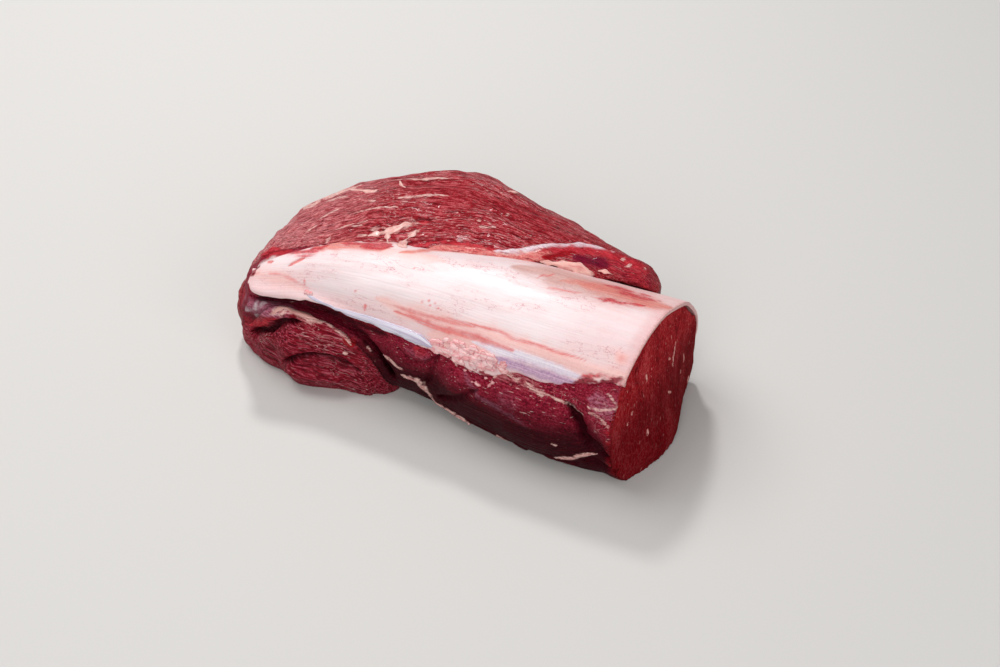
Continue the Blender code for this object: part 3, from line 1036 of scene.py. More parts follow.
@dataclass
class Flesh:
    """The meat itself: barrel, wing and lobe in one closed mesh with their fibres in relief.

    Attributes:
        voxel: Size of the mesh's cells, in millimetres.
        bundle: Size of a bundle of fibres along, across and into the grain.
        fibre: The same for a thick fibre.
        torn_end: Size of the lumps at the head's torn end.
    """

    voxel: float = 0.97
    bundle: Place = (42, 4.2, 5)
    fibre: Place = (20, 1.9, 2.4)
    torn_end: Place = (7, 6, 6)

    def build(self) -> Piece:
        """Makes the piece over the solid's form.

        Returns:
            The piece.
        """
        piece = self.refine(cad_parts["meat"])
        self.soften(piece)
        sculpt = Sculpt(piece)
        zones = self.zones(sculpt)
        sculpt.put(self.settle(sculpt.places))
        grain = self.grain(sculpt.places, zones)
        still = 1 - smooth_step(0.8, 0.2, sculpt.places[:, 2])
        sculpt.push(self.relief(grain, sculpt.places, zones) * still)
        grounds = self.grounds(sculpt.places, zones)
        sculpt.mark(FLESH_MARKS, grounds, still * (1 - zones.cut), 5.0)
        above_board = sculpt.places.copy()
        above_board[:, 2] = np.maximum(above_board[:, 2], 0)
        sculpt.put(above_board)
        sculpt.paint("grain", grain)
        sculpt.paint("wing", zones.wing)
        sculpt.paint("lobe", zones.lobe)
        sculpt.dress(PulledBeef().build(), SlicedBeef().build())
        for face in piece.data.polygons:
            face.material_index = int(zones.cut[face.vertices[0]] > 0.5)
        return piece

    def refine(self, node: Piece) -> Piece:
        """Copies the solid and gives it an even, fine mesh.

        Args:
            node: The CAD node, which is left as it is.

        Returns:
            The new piece.
        """
        piece = bpy.data.objects.new("flesh", node.data.copy())
        bpy.context.scene.collection.objects.link(piece)
        piece.data.materials.clear()
        tidy_mesh(piece)
        finish_with(piece, "REMESH", mode="VOXEL", voxel_size=self.voxel * MM)
        return piece

    def soften(self, piece: Piece) -> None:
        """Rounds the solid's facets away, but keeps the flat of the cut and of the underside.

        Args:
            piece: The piece that is softened.
        """
        places, steps = Sculpt(piece).places, 10
        free = smooth_step(0.3, 1.6, inside_cut(places)) * smooth_step(0.1, 1.2, places[:, 2])
        group = piece.vertex_groups.new(name="soft")
        for step in range(steps + 1):
            chosen = np.nonzero(np.round(free * steps) == step)[0]
            group.add([int(i) for i in chosen], step / steps, "REPLACE")
        finish_with(piece, "SMOOTH", factor=0.5, iterations=14, vertex_group="soft")
        piece.vertex_groups.clear()

    def zones(self, sculpt: Sculpt) -> Zones:
        """Tells the cut, the wing and the lobe from the barrel.

        Args:
            sculpt: The piece's vertices.

        Returns:
            Where each vertex belongs.
        """
        places = sculpt.places
        cut = smooth_step(1.1, 0.3, inside_cut(places)) * smooth_step(0.3, 0.7, sculpt.normals[:, 0])
        barrel, wing, lobe = (muscle.depth(places) for muscle in (BARREL, WING, LOBE))
        is_wing = smooth_step(-0.04, 0.04, barrel - wing)
        is_lobe = smooth_step(-0.02, 0.02, np.minimum(barrel, wing) - lobe)
        is_lobe = is_lobe * smooth_step(6, 2, places[:, 1])
        return Zones(cut, is_wing * (1 - is_lobe), is_lobe)

    def settle(self, places: Array) -> Array:
        """Bends the form by a few millimetres, where the real meat sags, bulges or draws in.

        Args:
            places: The vertices.

        Returns:
            Their new places.
        """
        x, y, z = places.T
        drawn_in = 3.6 * bell(x + 50, 14) - 1.6 * bell(x + 74, 6) + 1.6 * bell(x + 84, 4)
        aside = smooth_step(-22, -33, y) * drawn_in
        free_end = smooth_step(42, 64, x) * smooth_step(20, 28, y)
        sag = 2.2 * free_end * smooth_step(63, 56, z) * smooth_step(40, 48, z)
        lip = 2.6 * smooth_step(17, 5, z) * smooth_step(8, 0, inside_cut(places)) * bell(y + 12, 26)
        return np.stack([x + lip, y + aside, z - sag], axis=1)

    def grain(self, places: Array, zones: Zones) -> Array:
        """Coordinates that run along, across and into the fibres, in millimetres.

        Args:
            places: The vertices.
            zones: Where they belong. Each zone's pattern starts at a number of its own.

        Returns:
            A vector for each vertex.
        """
        across, up = BARREL.parts(places)
        sway = 1.6 * ripple(places / 15, 11) + 0.7 * ripple(places / 5, 12)
        x, y, z = places[:, 0], places[:, 1] + sway, places[:, 2] + 0.5 * sway
        barrel = np.stack([x, 38 * across + sway, 34 * up], axis=1)
        near, far = smooth_rows(WING_FAN, x).T
        wing = np.stack([1.12 * x, 72 * (y - near) / (far - near), z - 40], axis=1)
        lobe = np.stack([x, y, z + 0.17 * x], axis=1)
        cut = np.stack([z, y + 0.006 * np.maximum(50 - z, 0) ** 2, 0 * x], axis=1)
        grain = barrel + (zones.wing > 0.5)[:, None] * (wing - barrel + 300)
        grain = np.where((zones.lobe > 0.5)[:, None], lobe + 600, grain)
        return np.where((zones.cut > 0.5)[:, None], cut + 900, grain)

    def relief(self, grain: Array, places: Array, zones: Zones) -> Array:
        """The height of bundles, fibres and soft lumps over the solid's form.

        Args:
            grain: The fibre coordinates.
            places: The vertices.
            zones: Where they belong.

        Returns:
            A height for each vertex, in millimetres.
        """
        bundles, fibres = ripple(grain / self.bundle, 1), ripple(grain / self.fibre, 2)
        lumps, small = ripple(places / 9, 3), ripple(places / 3.2, 4)
        torn = smooth_step(-84, -100, places[:, 0])
        torn = torn * (1.3 * ripple(places / self.torn_end, 13) + 0.5 * ripple(places / 3, 14))
        barrel = 1 - np.maximum(zones.wing, zones.lobe)
        height = zones.wing * (0.55 * bundles + 0.25 * fibres + 0.25 * small + 0.6 * lumps)
        height += zones.lobe * (0.5 * bundles + 0.2 * fibres + 0.1 * small + 0.3 * lumps)
        height += barrel * (0.12 * bundles + 0.06 * fibres + 0.5 * lumps + 0.12 * small)
        return (height + torn) * (1 - zones.cut) + zones.cut * (0.12 * fibres + 0.1 * small)

    def grounds(self, places: Array, zones: Zones) -> dict[Paint, Array | float]:
        """How much of each paint lies on the flesh before any stroke.

        Args:
            places: The vertices.
            zones: Where they belong.

        Returns:
            The amount of each paint that the material reads.
        """
        x, _, z = places.T
        bare = (Paint.FAT, Paint.FILM_AND_SHEEN, Paint.LILAC_AND_GLINT, Paint.FRINGE)
        bare += (Paint.ORANGE, Paint.RIM, Paint.WEB, Paint.PLUM)
        # painted shade: darker towards the board, less so on the wing, the lobe and the head, and on the cut
        # towards its foot
        shade = 1.25 * smooth_step(47, 12, z) * (1 - 0.55 * zones.wing) * (1 - 0.72 * zones.lobe)
        shade = shade * (1 - 0.6 * smooth_step(-90, -102, x))
        return dict.fromkeys(bare, 0.0) | {
            Paint.DARK: shade * (1 - zones.cut) + 0.62 * smooth_step(56, 22, z) * zones.cut,
            Paint.BLOOD: 0.45 * smooth_step(9, 0, inside_cut(places)) * smooth_step(48, 34, z),
            Paint.PINK: 0.8 * smooth_step(-35, -95, x) * smooth_step(18, 46, z) * zones.wing,
        }


# makers of strokes: one for each paint, in the order of their names in Paint, and one for relief alone
fat, film, fringe, blood, dark, peach, blush, lilac, web, plum, red, pink, orange, rim, haze = (
    partial(Mark, paint) for paint in Paint
)
swell = partial(Mark, None)

# the ragged red and orange fringe between the silverskin and the wing
BORDER_MARKS = (
    fringe(((-100, -4, 44), (-98, -2, 48), (-89, -2, 51), (-80, -5, 57), (-74, -4, 59), (-70, -2, 60),
        (-66, 2, 60)), 2.2, 1.2, ragged=0.8),
    fringe(((-52, 8, 61), (-47, 7, 62), (-43, 8, 62), (-38, 8, 63)), 3.6, 1.3, ragged=0.7),
    fringe(((-30, 12, 62), (-21, 17, 62), (-10, 21, 62), (0, 22, 62), (7, 22.5, 61)), 1.1, 1.0, ragged=0.7),
    orange(((-70, 0, 60), (-62, 6, 60), (-55, 6, 61), (-46, 6, 62)), 3.8, 1.1, ragged=0.6),
    orange(((-32, 4, 64), (-24, 9, 64), (-17, 15, 61), (-8, 18, 62), (0, 20, 61), (10, 20, 61)),
        2.3, 1.1, ragged=0.6),
)

FLESH_MARKS = BORDER_MARKS + (
    # the silverskin's thin end over the head
    rim(((-99, -10, 44), (-95, -9, 48), (-90, -8, 51.5), (-84, -8, 54.5), (-78, -8, 57)),
        3.4, 1.2, ragged=0.7),
    # pale fat along the wing's far edge, and threads and flecks over its top
    fat(((-93, 31, 49), (-91, 38, 48), (-84, 47, 50), (-74, 56, 51)), 1.8, 1.4, lift=0.4, ragged=0.6),
    fat(((-85, 38, 51), (-80, 41, 52), (-75, 43, 54)), 1.2, 0.9, ragged=0.6),
    fat(((-61, 61, 52), (-48, 65, 54), (-33, 69, 56)), 1.0, 0.8, ragged=0.6),
    fat(((-63, 40, 57), (-60, 41, 57)), 1.1),
    fat(((-47, 42, 59), (-44, 42, 60)), 1.0),
    fat(((-52, 44, 58), (-40, 48, 60), (-27, 53, 60)), 0.8, 0.8, ragged=0.6),
    fat(((-81, 22, 54), (-78, 28, 55), (-75, 33, 55)), 0.75, 0.8, ragged=0.6),
    fat(((-72, 14, 56), (-67, 20, 56), (-61, 24, 57), (-53, 28, 58)), 0.6, 0.7, ragged=0.7),
    fat(((-84, 12, 53), (-80, 19, 54)), 0.6, 0.7, ragged=0.7),
    fat(((-68, 28, 56), (-58, 34, 58), (-46, 38, 59)), 0.6, 0.7, ragged=0.7),
    fat(((-63, 20, 56), (-58, 22, 57)), 1.0, 0.8),
    fat(((-70, 7, 56), (-70, 11, 56)), 1.1),
    fat(((-57, 14, 57), (-51, 18, 59), (-45, 22, 60), (-38, 27, 60), (-31, 29, 61)), 2.6, 0.55, ragged=1.3),
    fat(((-31, 24, 61), (-35, 15, 61), (-31, 8, 63), (-24, 6, 65)), 2.2, 0.55, ragged=1.3),
    fat(((3, 48, 61),), 1.0),
    fat(((-7, 38, 62),), 0.9),
    fat(((-6, 34, 62), (2, 37, 62)), 0.9, 0.9),
    fringe(((-38, 26, 60), (-35, 30, 60), (-29, 32, 61)), 2.0, 0.8),
    # painted shade in a slit in the wing
    dark(((-37, 29, 60), (-34, 33, 60), (-28, 34, 61)), 1.0, 0.7, lift=-1.3),
    # the wing's free end: a pale fold of fascia, strands below it, a wet streak, a plum patch, painted shadow
    # in the gap below
    orange(((4, 18.5, 62), (12, 20, 61.5), (20, 23.5, 61), (28, 28.5, 61), (34, 31.5, 61)),
        2.6, 0.85, ragged=0.5),
    fringe(((26, 29, 61), (33, 33, 61), (45, 37, 61), (60, 38, 60), (74, 35, 57)), 2.6, 1.0, ragged=0.4),
    plum(((52, 34, 61), (62, 34, 60), (72, 31, 57), (76, 33, 52)), 6.5, 0.48),
    fringe(((56, 36, 61), (66, 34, 60), (76, 31, 56), (78, 33, 50)), 7.0, 0.52, ragged=0.6),
    lilac(((6, 22, 61), (12, 23.5, 61), (17, 26, 61), (23, 30, 61), (29, 34, 61), (35, 37, 61),
        (41, 40, 61), (48, 41, 61), (57, 40, 61)), 1.35, 1.3, lift=0.9, ragged=0.5),
    rim(((-3, 20.5, 62), (6, 20.5, 61.5), (13, 22, 61), (20, 25.5, 61), (27, 30, 61)),
        0.75, 1.3, lift=0.3, ragged=0.6),
    orange(((7, 20, 61), (14, 21, 61), (20, 24, 61), (26, 28, 61), (31, 31, 61)),
        1.1, 1.2, lift=0.5, ragged=0.3),
    orange(((20, 21, 61), (25, 24, 61), (30, 27, 61), (35, 31, 61)), 0.9, 1.1, lift=0.4, ragged=0.3),
    blood(((27, 26, 60), (31, 28, 60.5), (36, 32, 61), (41, 34, 61)), 1.3, 1.3, ragged=0.3),
    plum(((40, 32, 61), (45, 31, 61), (51, 32, 61), (58, 32, 61)), 2.8, 1.2),
    fringe(((8, 16, 63), (16, 17, 63), (26, 20.5, 61)), 0.8, 0.9, ragged=0.6),
    # painted shadow in the gap under the free end
    dark(((22, 19, 61.5), (31, 24, 59), (42, 26, 58), (52, 26, 57)), 1.5, 1.0),
    fat(((61, 38, 61), (63, 38, 61)), 0.8),
    fat(((64, 34, 61), (66, 36, 61)), 0.8, 0.9),
    fat(((73, 36, 60),), 0.8, 0.9),
    # the lobe: its membrane with painted glints, its fat, the crease below them in painted shade, the clot
    # and a bundle below
    swell(((-98, -20, 32), (-90, -23, 34), (-82, -24, 36), (-74, -24, 37)), 4.5, lift=1.8),
    film(((-101, -19, 27), (-95, -21, 33), (-88, -23, 36), (-80, -23, 38), (-74, -20, 38)), 3.6, 1.1),
    # painted glints on the wet membrane
    lilac(((-102, -18, 25), (-98, -20, 30), (-93, -22, 34), (-88, -22, 37)), 1.2, 0.65, ragged=1.2),
    lilac(((-97, -21, 26), (-91, -23, 31)), 0.9, 0.6, ragged=1.2),
    fringe(((-104, -12, 34), (-106, -14, 26), (-105, -16, 18)), 3.2, 0.6, ragged=0.9),
    film(((-103, -16, 33), (-105, -15, 24)), 2.0, 0.6, ragged=0.9),
    fringe(((-104, -17, 21), (-99, -20, 20), (-91, -24, 26), (-86, -24, 30), (-81, -25, 34)),
        2.2, 0.8, ragged=0.6),
    # painted shade in the crease under the membrane
    dark(((-98, -20, 15), (-95, -22, 18), (-88, -25, 24), (-84, -24, 27), (-78, -25.5, 33),
        (-70, -26, 35)), 1.8, 1.0, lift=-3.2),
    fat(((-85, -25, 35), (-79, -23, 37), (-72, -22, 38), (-65, -23, 37), (-59, -22, 36)),
        2.4, 0.9, ragged=0.9),
    fat(((-59, -22.5, 36), (-54, -24, 35), (-48, -25, 32.5), (-45, -26, 29)), 0.9, 0.8, lift=0.4),
    blood(((-49, -25, 32), (-46, -26, 31), (-43, -26, 30)), 1.9, 1.1, lift=0.9),
    fat(((-49, -29, 24), (-47, -29, 24)), 1.1, 1.2, lift=0.6),
    # painted shade in the groove over the bundle
    dark(((-79, -30, 10), (-76, -31, 14), (-70, -32, 18), (-65, -32, 19.5), (-57, -32, 19.5),
        (-49, -31, 18), (-40, -29, 14)), 1.6, 1.0, lift=-3.2),
    swell(((-77, -33, 9), (-65, -35, 11), (-50, -33, 10)), 4.5, lift=2.9),
    # painted shadow under the silverskin's near edge, and painted shade in the recess by the tendon
    dark(((-97, -19, 40), (-84, -20, 41), (-70, -19, 41), (-60, -20, 41), (-48, -23, 41), (-42, -25, 36),
        (-36, -26, 30), (-31, -27, 25)), 3.2, 0.95),
    dark(((-46, -25, 42), (-36, -27, 41), (-28, -28, 41)), 2.6, 0.8),
    fringe(((-54, -23, 44), (-44, -25, 44), (-34, -27, 43)), 1.5, 0.6, ragged=0.8),
    fringe(((-41, -26, 33), (-37, -27, 27), (-33, -27, 21), (-30, -26, 14)), 1.3, 0.6, ragged=0.8),
    fat(((-38, -27, 31), (-36, -27, 29)), 0.7, 0.8),
    fat(((-34, -27, 23),), 0.7, 0.8),
    # the near side of the barrel: bulges with creases in painted shade between them, thin fascia and fibres
    # by the cut
    swell(((-12, -29, 41),), 6.0, lift=1.7),
    dark(((-22, -28, 38), (-15, -30, 34), (-7, -30, 35), (-2, -30, 40)), 1.3, 0.6, lift=-1.2),
    fringe(((-13, -29, 41), (-7, -30, 41)), 2.6, 0.5, ragged=0.8),
    dark(((-2, -30, 42), (-4, -29, 33), (-6, -30, 26), (-9, -30, 20)), 1.3, 0.6, lift=-1.6),
    swell(((7, -34, 32),), 8.5, lift=2.1),
    dark(((-2, -30, 15), (8, -35, 23), (14, -36, 29), (20, -36, 34)), 1.7, 0.8, lift=-2.2),
    swell(((46, -40, 29),), 17.0, lift=2.2),
    dark(((60, -36, 41), (65, -38, 37), (68, -39, 32), (71, -40, 26), (77, -42, 21), (85, -43, 19)),
        2.0, 1.1, lift=-3.4),
    swell(((77, -41, 37),), 8.0, lift=1.8),
    # painted shade in the gap along the board
    dark(((72, -43, 12), (80, -44, 11), (90, -42, 12)), 2.4, 1.1, lift=-2.0),
    fat(((26, -35, 41), (28, -34, 45), (31, -33, 47)), 0.9, 0.8, ragged=0.6),
    # a cord of fat runs down to the board, with a short one before it and a strip by the cut
    orange(((-18, -28, 21), (-12, -29, 22), (-8, -28, 15), (-4, -28, 10), (3, -31, 10), (8, -32, 9),
        (15, -34, 8)), 2.2, 0.9, lift=1.2),
    fat(((-20, -28, 21), (-12, -29, 22), (-8, -28, 14), (-5, -28, 10), (3, -31, 10), (9, -33, 9),
        (15, -34, 8)), 1.4, 1.1, ragged=0.8),
    fat(((-30, -27, 29), (-26, -28, 28), (-22, -29, 26), (-18, -29, 26)), 1.0, 1.0, lift=0.5),
    fat(((57, -42, 8), (65, -43, 12), (69, -42, 15), (76, -42, 18)), 1.1, 1.2, lift=0.5),
    pink(((24, -34, 45), (36, -34, 45), (48, -36, 43)), 3.0, 0.6),
    fat(((29, -33, 46), (34, -34, 45.5), (39, -34, 45)), 1.1, 0.9, lift=0.3, ragged=1.0),
    fat(((40, -35, 44.5), (46, -35.5, 43), (52, -36, 42.5)), 1.2, 0.9, lift=0.3, ragged=1.0),
    fat(((51, -36, 42.5), (60, -37, 41), (65, -37.5, 38.5), (70, -39, 36)), 0.65, 0.8),
    film(((12, -33, 41), (16, -35, 36), (21, -37, 31), (29, -39, 30), (38, -40, 28), (46, -41, 26)),
        1.3, 0.75, lift=0.4),
    # painted sheen on the top of a bulge
    film(((30, -38, 36), (40, -39, 34)), 5.0, 0.35),
    film(((-18, -29, 40), (-10, -30, 38), (-5, -30, 37)), 2.2, 0.4),
    film(((70, -36, 46), (77, -36, 45), (84, -37, 42)), 5.0, 0.6),
    web(((72, -34, 50), (80, -36, 45), (80, -39, 38), (84, -40, 30)), 5.0, 0.8),
    web(((20, -33, 46), (36, -34, 45), (56, -36, 43), (66, -37, 42)), 3.0, 0.6),
    *(fat(line, 0.65, 0.75) for line in (
        ((70, -38, 40), (76, -40, 41.5), (81, -41, 38)),
        ((69, -37, 42), (76, -38.5, 44), (84, -37.5, 47)),
        ((84, -38, 45), (81, -36.5, 49), (77, -34, 51)),
        ((76, -41, 33),),
        ((81, -42, 31),),
        ((53, -38, 39),),
        ((56, -42, 20), (59, -43, 19)),
    )),
    # scraps along the edge that lies on the board
    fringe(((14, -37, 6), (24, -39, 6), (34, -41, 6), (44, -42, 5)), 1.3, 0.9, lift=0.8, ragged=1.2),
    fat(((28, -40, 7), (34, -41, 6)), 0.9, 0.8),
    fringe(((52, -43, 6), (60, -44, 6), (68, -44, 6)), 1.3, 0.8, lift=0.8, ragged=1.2),
    # flecks on the cut
    *(fat(line, 0.7, 0.9) for line in (
        ((94, 14, 42), (94, 13, 38), (95, 11, 34), (95, 10, 30)),
        ((97, 23, 27), (98, 22, 21)),
        ((94, 7, 38), (94, 8, 36)),
        ((97, 18, 21), (97, 17, 19)),
        ((89, -13, 46), (89, -13, 41)),
        ((87, -26, 35), (87, -27, 33)),
        ((86, -30, 32), (86, -31, 30)),
        ((96, 1, 23), (97, 4, 20)),
        ((93, -20, 19), (94, -21, 16)),
    )),
    fat(((99, 28, 5),), 1.8, 1.2, lift=0.6),
)


# ---------------------------------------------------------------- the silverskin


class Edge(Enum):
    """A long edge of the silverskin. The value says which way round the barrel is outwards."""

    NEAR = 1
    FAR = -1


def margin_line(edge: Edge, start: float, end: float, over: float = 0.0, count: int = 8) -> Route:
    """Places along an edge of the silverskin.

    Args:
        edge: Which edge.
        start: The x it starts from.
        end: The x it runs to.
        over: How far beyond the edge it lies, in millimetres.
        count: How many places.

    Returns:
        The places.
    """
    x = np.linspace(start, end, count)
    near, far = smooth_rows(MARGINS, x).T
    angle = (near if edge is Edge.NEAR else far) + edge.value * over * DEGREES_PER_MM
    return tuple(tuple(map(float, place)) for place in BARREL.surface(x, np.radians(angle)))


@dataclass
class Silverskin:
    """The pale sheet over the barrel: a closed skin whose edges dip towards the flesh.

    Attributes:
        rows: Cells along the meat.
        columns: Cells across it.
        tuck: How many rows or columns of cells dip at each edge.
        dip: How far they dip, in millimetres.
        thickness: Of the closed sheet, in millimetres.
        above: How far over the barrel the solid's face is looked for, in millimetres.
    """

    rows: int = 290
    columns: int = 124
    tuck: int = 3
    dip: float = 1.95
    thickness: float = 1.7
    above: float = 9.0

    def build(self) -> Piece:
        """Makes the piece over the solid's form.

        Returns:
            The piece.
        """
        piece, along, across = add_grid("silverskin_sheet", self.rows, self.columns)
        row = np.round(along * self.rows).astype(int)
        column = np.round(across * self.columns).astype(int)
        places, grain = self.spread_out(row, column)
        sculpt = Sculpt(piece)
        sculpt.put(places)
        sculpt.paint("grain", grain)
        sculpt.push(0.13 * ripple(grain / (30, 2.6, 1), 5) + 0.22 * ripple(grain / (14, 8, 1), 6))
        self.close(piece)
        sculpt = Sculpt(piece)
        sculpt.mark(SKIN_MARKS, self.grounds(sculpt.places), 1.0, 3.0)
        sculpt.dress(PeeledSilverskin().build())
        return piece

    def grounds(self, places: Array) -> dict[Paint, Array | float]:
        """How much of each paint lies on the skin before any stroke.

        Args:
            places: The vertices.

        Returns:
            The amount of each paint that the material reads. The ends and the long sides are pinker; on the
            far side that pink and a grey-beige haze are painted shade.
        """
        x, y, z = places.T
        inside = inside_cut(places)
        low = smooth_step(58, 46, z) * (y < 0)
        # the far side turns away from the light: the pink and haze laid on it there are painted shade
        far = smooth_step(2, 20, y) * smooth_step(-5, 35, x)
        ends = np.maximum(0.5 * smooth_step(-40, -75, x), 0.65 * smooth_step(20, 75, x))
        ends = np.maximum(ends, 1.3 * smooth_step(12, 1, inside))
        bare = (Paint.PEACH, Paint.BLUSH, Paint.LILAC_AND_GLINT, Paint.FLESH)
        bare += (Paint.ORANGE, Paint.FRINGE, Paint.FILM_AND_SHEEN)
        return dict.fromkeys(bare, 0.0) | {
            Paint.RIM: np.maximum(smooth_step(0.5, 0.1, inside), 0.6 * smooth_step(1.8, 0.4, inside)),
            Paint.SKIN_SHADE: 0.35 * far,
            Paint.PINK: 0.6 * np.maximum(np.maximum(low, far), ends),
        }

    def spread_out(self, row: Array, column: Array) -> tuple[Array, Array]:
        """Lays the flat grid over the barrel, on the solid's own outer face.

        Args:
            row: Each vertex's row, from the head to the cut.
            column: Its column, from the near edge to the far one.

        Returns:
            The places of the vertices, and their coordinates along and across the fibres.
        """
        tuck, head = self.tuck, MARGINS[0][0] + 0.8
        along = np.clip((row - tuck) / (self.rows - tuck), 0, 1)
        across = np.clip((column - tuck) / (self.columns - 2 * tuck), 0, 1)
        x = np.full(len(row), head)
        for _ in range(6):
            near, far = np.radians(smooth_rows(MARGINS, x)).T
            torn = [ripple(np.stack([x / size, 0 * x, 0 * x], axis=1), 9) for size in (9.0, 3.1)]
            near = near + np.radians(1.3 * torn[0] + 0.8 * torn[1])
            far = far + np.radians(3.0 * torn[0] - 2.0 * torn[1]) * smooth_step(35, 10, x)
            angle = near + (far - near) * across
            ground = BARREL.surface(x, angle)
            x = head + (cut_x(ground[:, 1], ground[:, 2]) - head) * along
        outward = self.outward(x, angle)
        height = self.smooth_height(self.cast(ground, outward), row, column)

        past_near = np.maximum(tuck - column, 0) / tuck
        past_far = np.maximum(column - self.columns + tuck, 0) / tuck
        past_head = np.maximum(tuck - row, 0) / tuck
        angle = angle + np.radians(2.0) * (past_near**0.6 - past_far**0.6)
        x = x - 1.3 * past_head**0.6
        height = height - np.maximum(np.maximum(past_near, past_far), past_head) ** 1.5 * self.dip
        places = BARREL.surface(x, angle) + outward * height[:, None]
        return places, np.stack([x, (angle - math.pi / 2) * BARREL_RADIUS, 0 * x], axis=1)

    def outward(self, x: Array, angle: Array) -> Array:
        """The outward direction of the barrel's plain form.

        Args:
            x: The places along X.
            angle: Their angles round the barrel.

        Returns:
            A direction for each place.
        """
        around = BARREL.surface(x, angle + 0.02) - BARREL.surface(x, angle - 0.02)
        along = BARREL.surface(x + 1, angle) - BARREL.surface(x - 1, angle)
        normal = np.cross(around, along)
        return normal / np.linalg.norm(normal, axis=1)[:, None]

    def cast(self, ground: Array, outward: Array) -> Array:
        """How far the solid's outer face stands off the barrel's plain form.

        Args:
            ground: Places on the plain form.
            outward: The way out of it at each.

        Returns:
            A height for each place, in millimetres, or not-a-number where the solid has no face.
        """
        tree = BVHTree.FromObject(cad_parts["silverskin"], bpy.context.evaluated_depsgraph_get())
        height = np.full(len(ground), np.nan)
        for i, (place, way) in enumerate(zip((ground + outward * self.above + OFFSET) * MM, outward)):
            hit = tree.ray_cast(Vector(place), Vector(-way), 2 * self.above * MM)
            if hit[0] is not None and hit[1].dot(Vector(way)) > 0.2:
                height[i] = self.above - hit[3] / MM
        return height

    def smooth_height(self, height: Array, row: Array, column: Array) -> Array:
        """Fills the gaps in the cast heights and rounds the solid's facets away.

        Args:
            height: The cast heights.
            row: Each vertex's row.
            column: Its column.

        Returns:
            A height for each vertex.
        """
        table = np.full((self.rows + 1, self.columns + 1), np.nan)
        table[row, column] = height
        known = ~np.isnan(table)
        table[~known] = np.nanmean(table)
        filling, rounding = 48, 12
        for turn in range(filling + rounding):
            padded = np.pad(table, 1, mode="edge")
            near = (padded[:-2, 1:-1] + padded[2:, 1:-1] + padded[1:-1, :-2] + padded[1:-1, 2:]) / 4
            table = np.where(known, table if turn < filling else (table + near) / 2, near)
        return table[row, column]

    def close(self, piece: Piece) -> None:
        """Gives the sheet its thickness, and brings its end flush with the cut.

        Args:
            piece: The sheet, still open.
        """
        count = len(piece.data.vertices)
        finish_with(piece, "SOLIDIFY", thickness=self.thickness * MM, offset=-1.0, use_rim=True)
        sculpt = Sculpt(piece)
        places = sculpt.places.copy()
        inner = count + np.nonzero(np.abs(inside_cut(places[:count])) < 0.25)[0]
        places[inner, 0] = cut_x(places[inner, 1], places[inner, 2])
        sculpt.put(places)


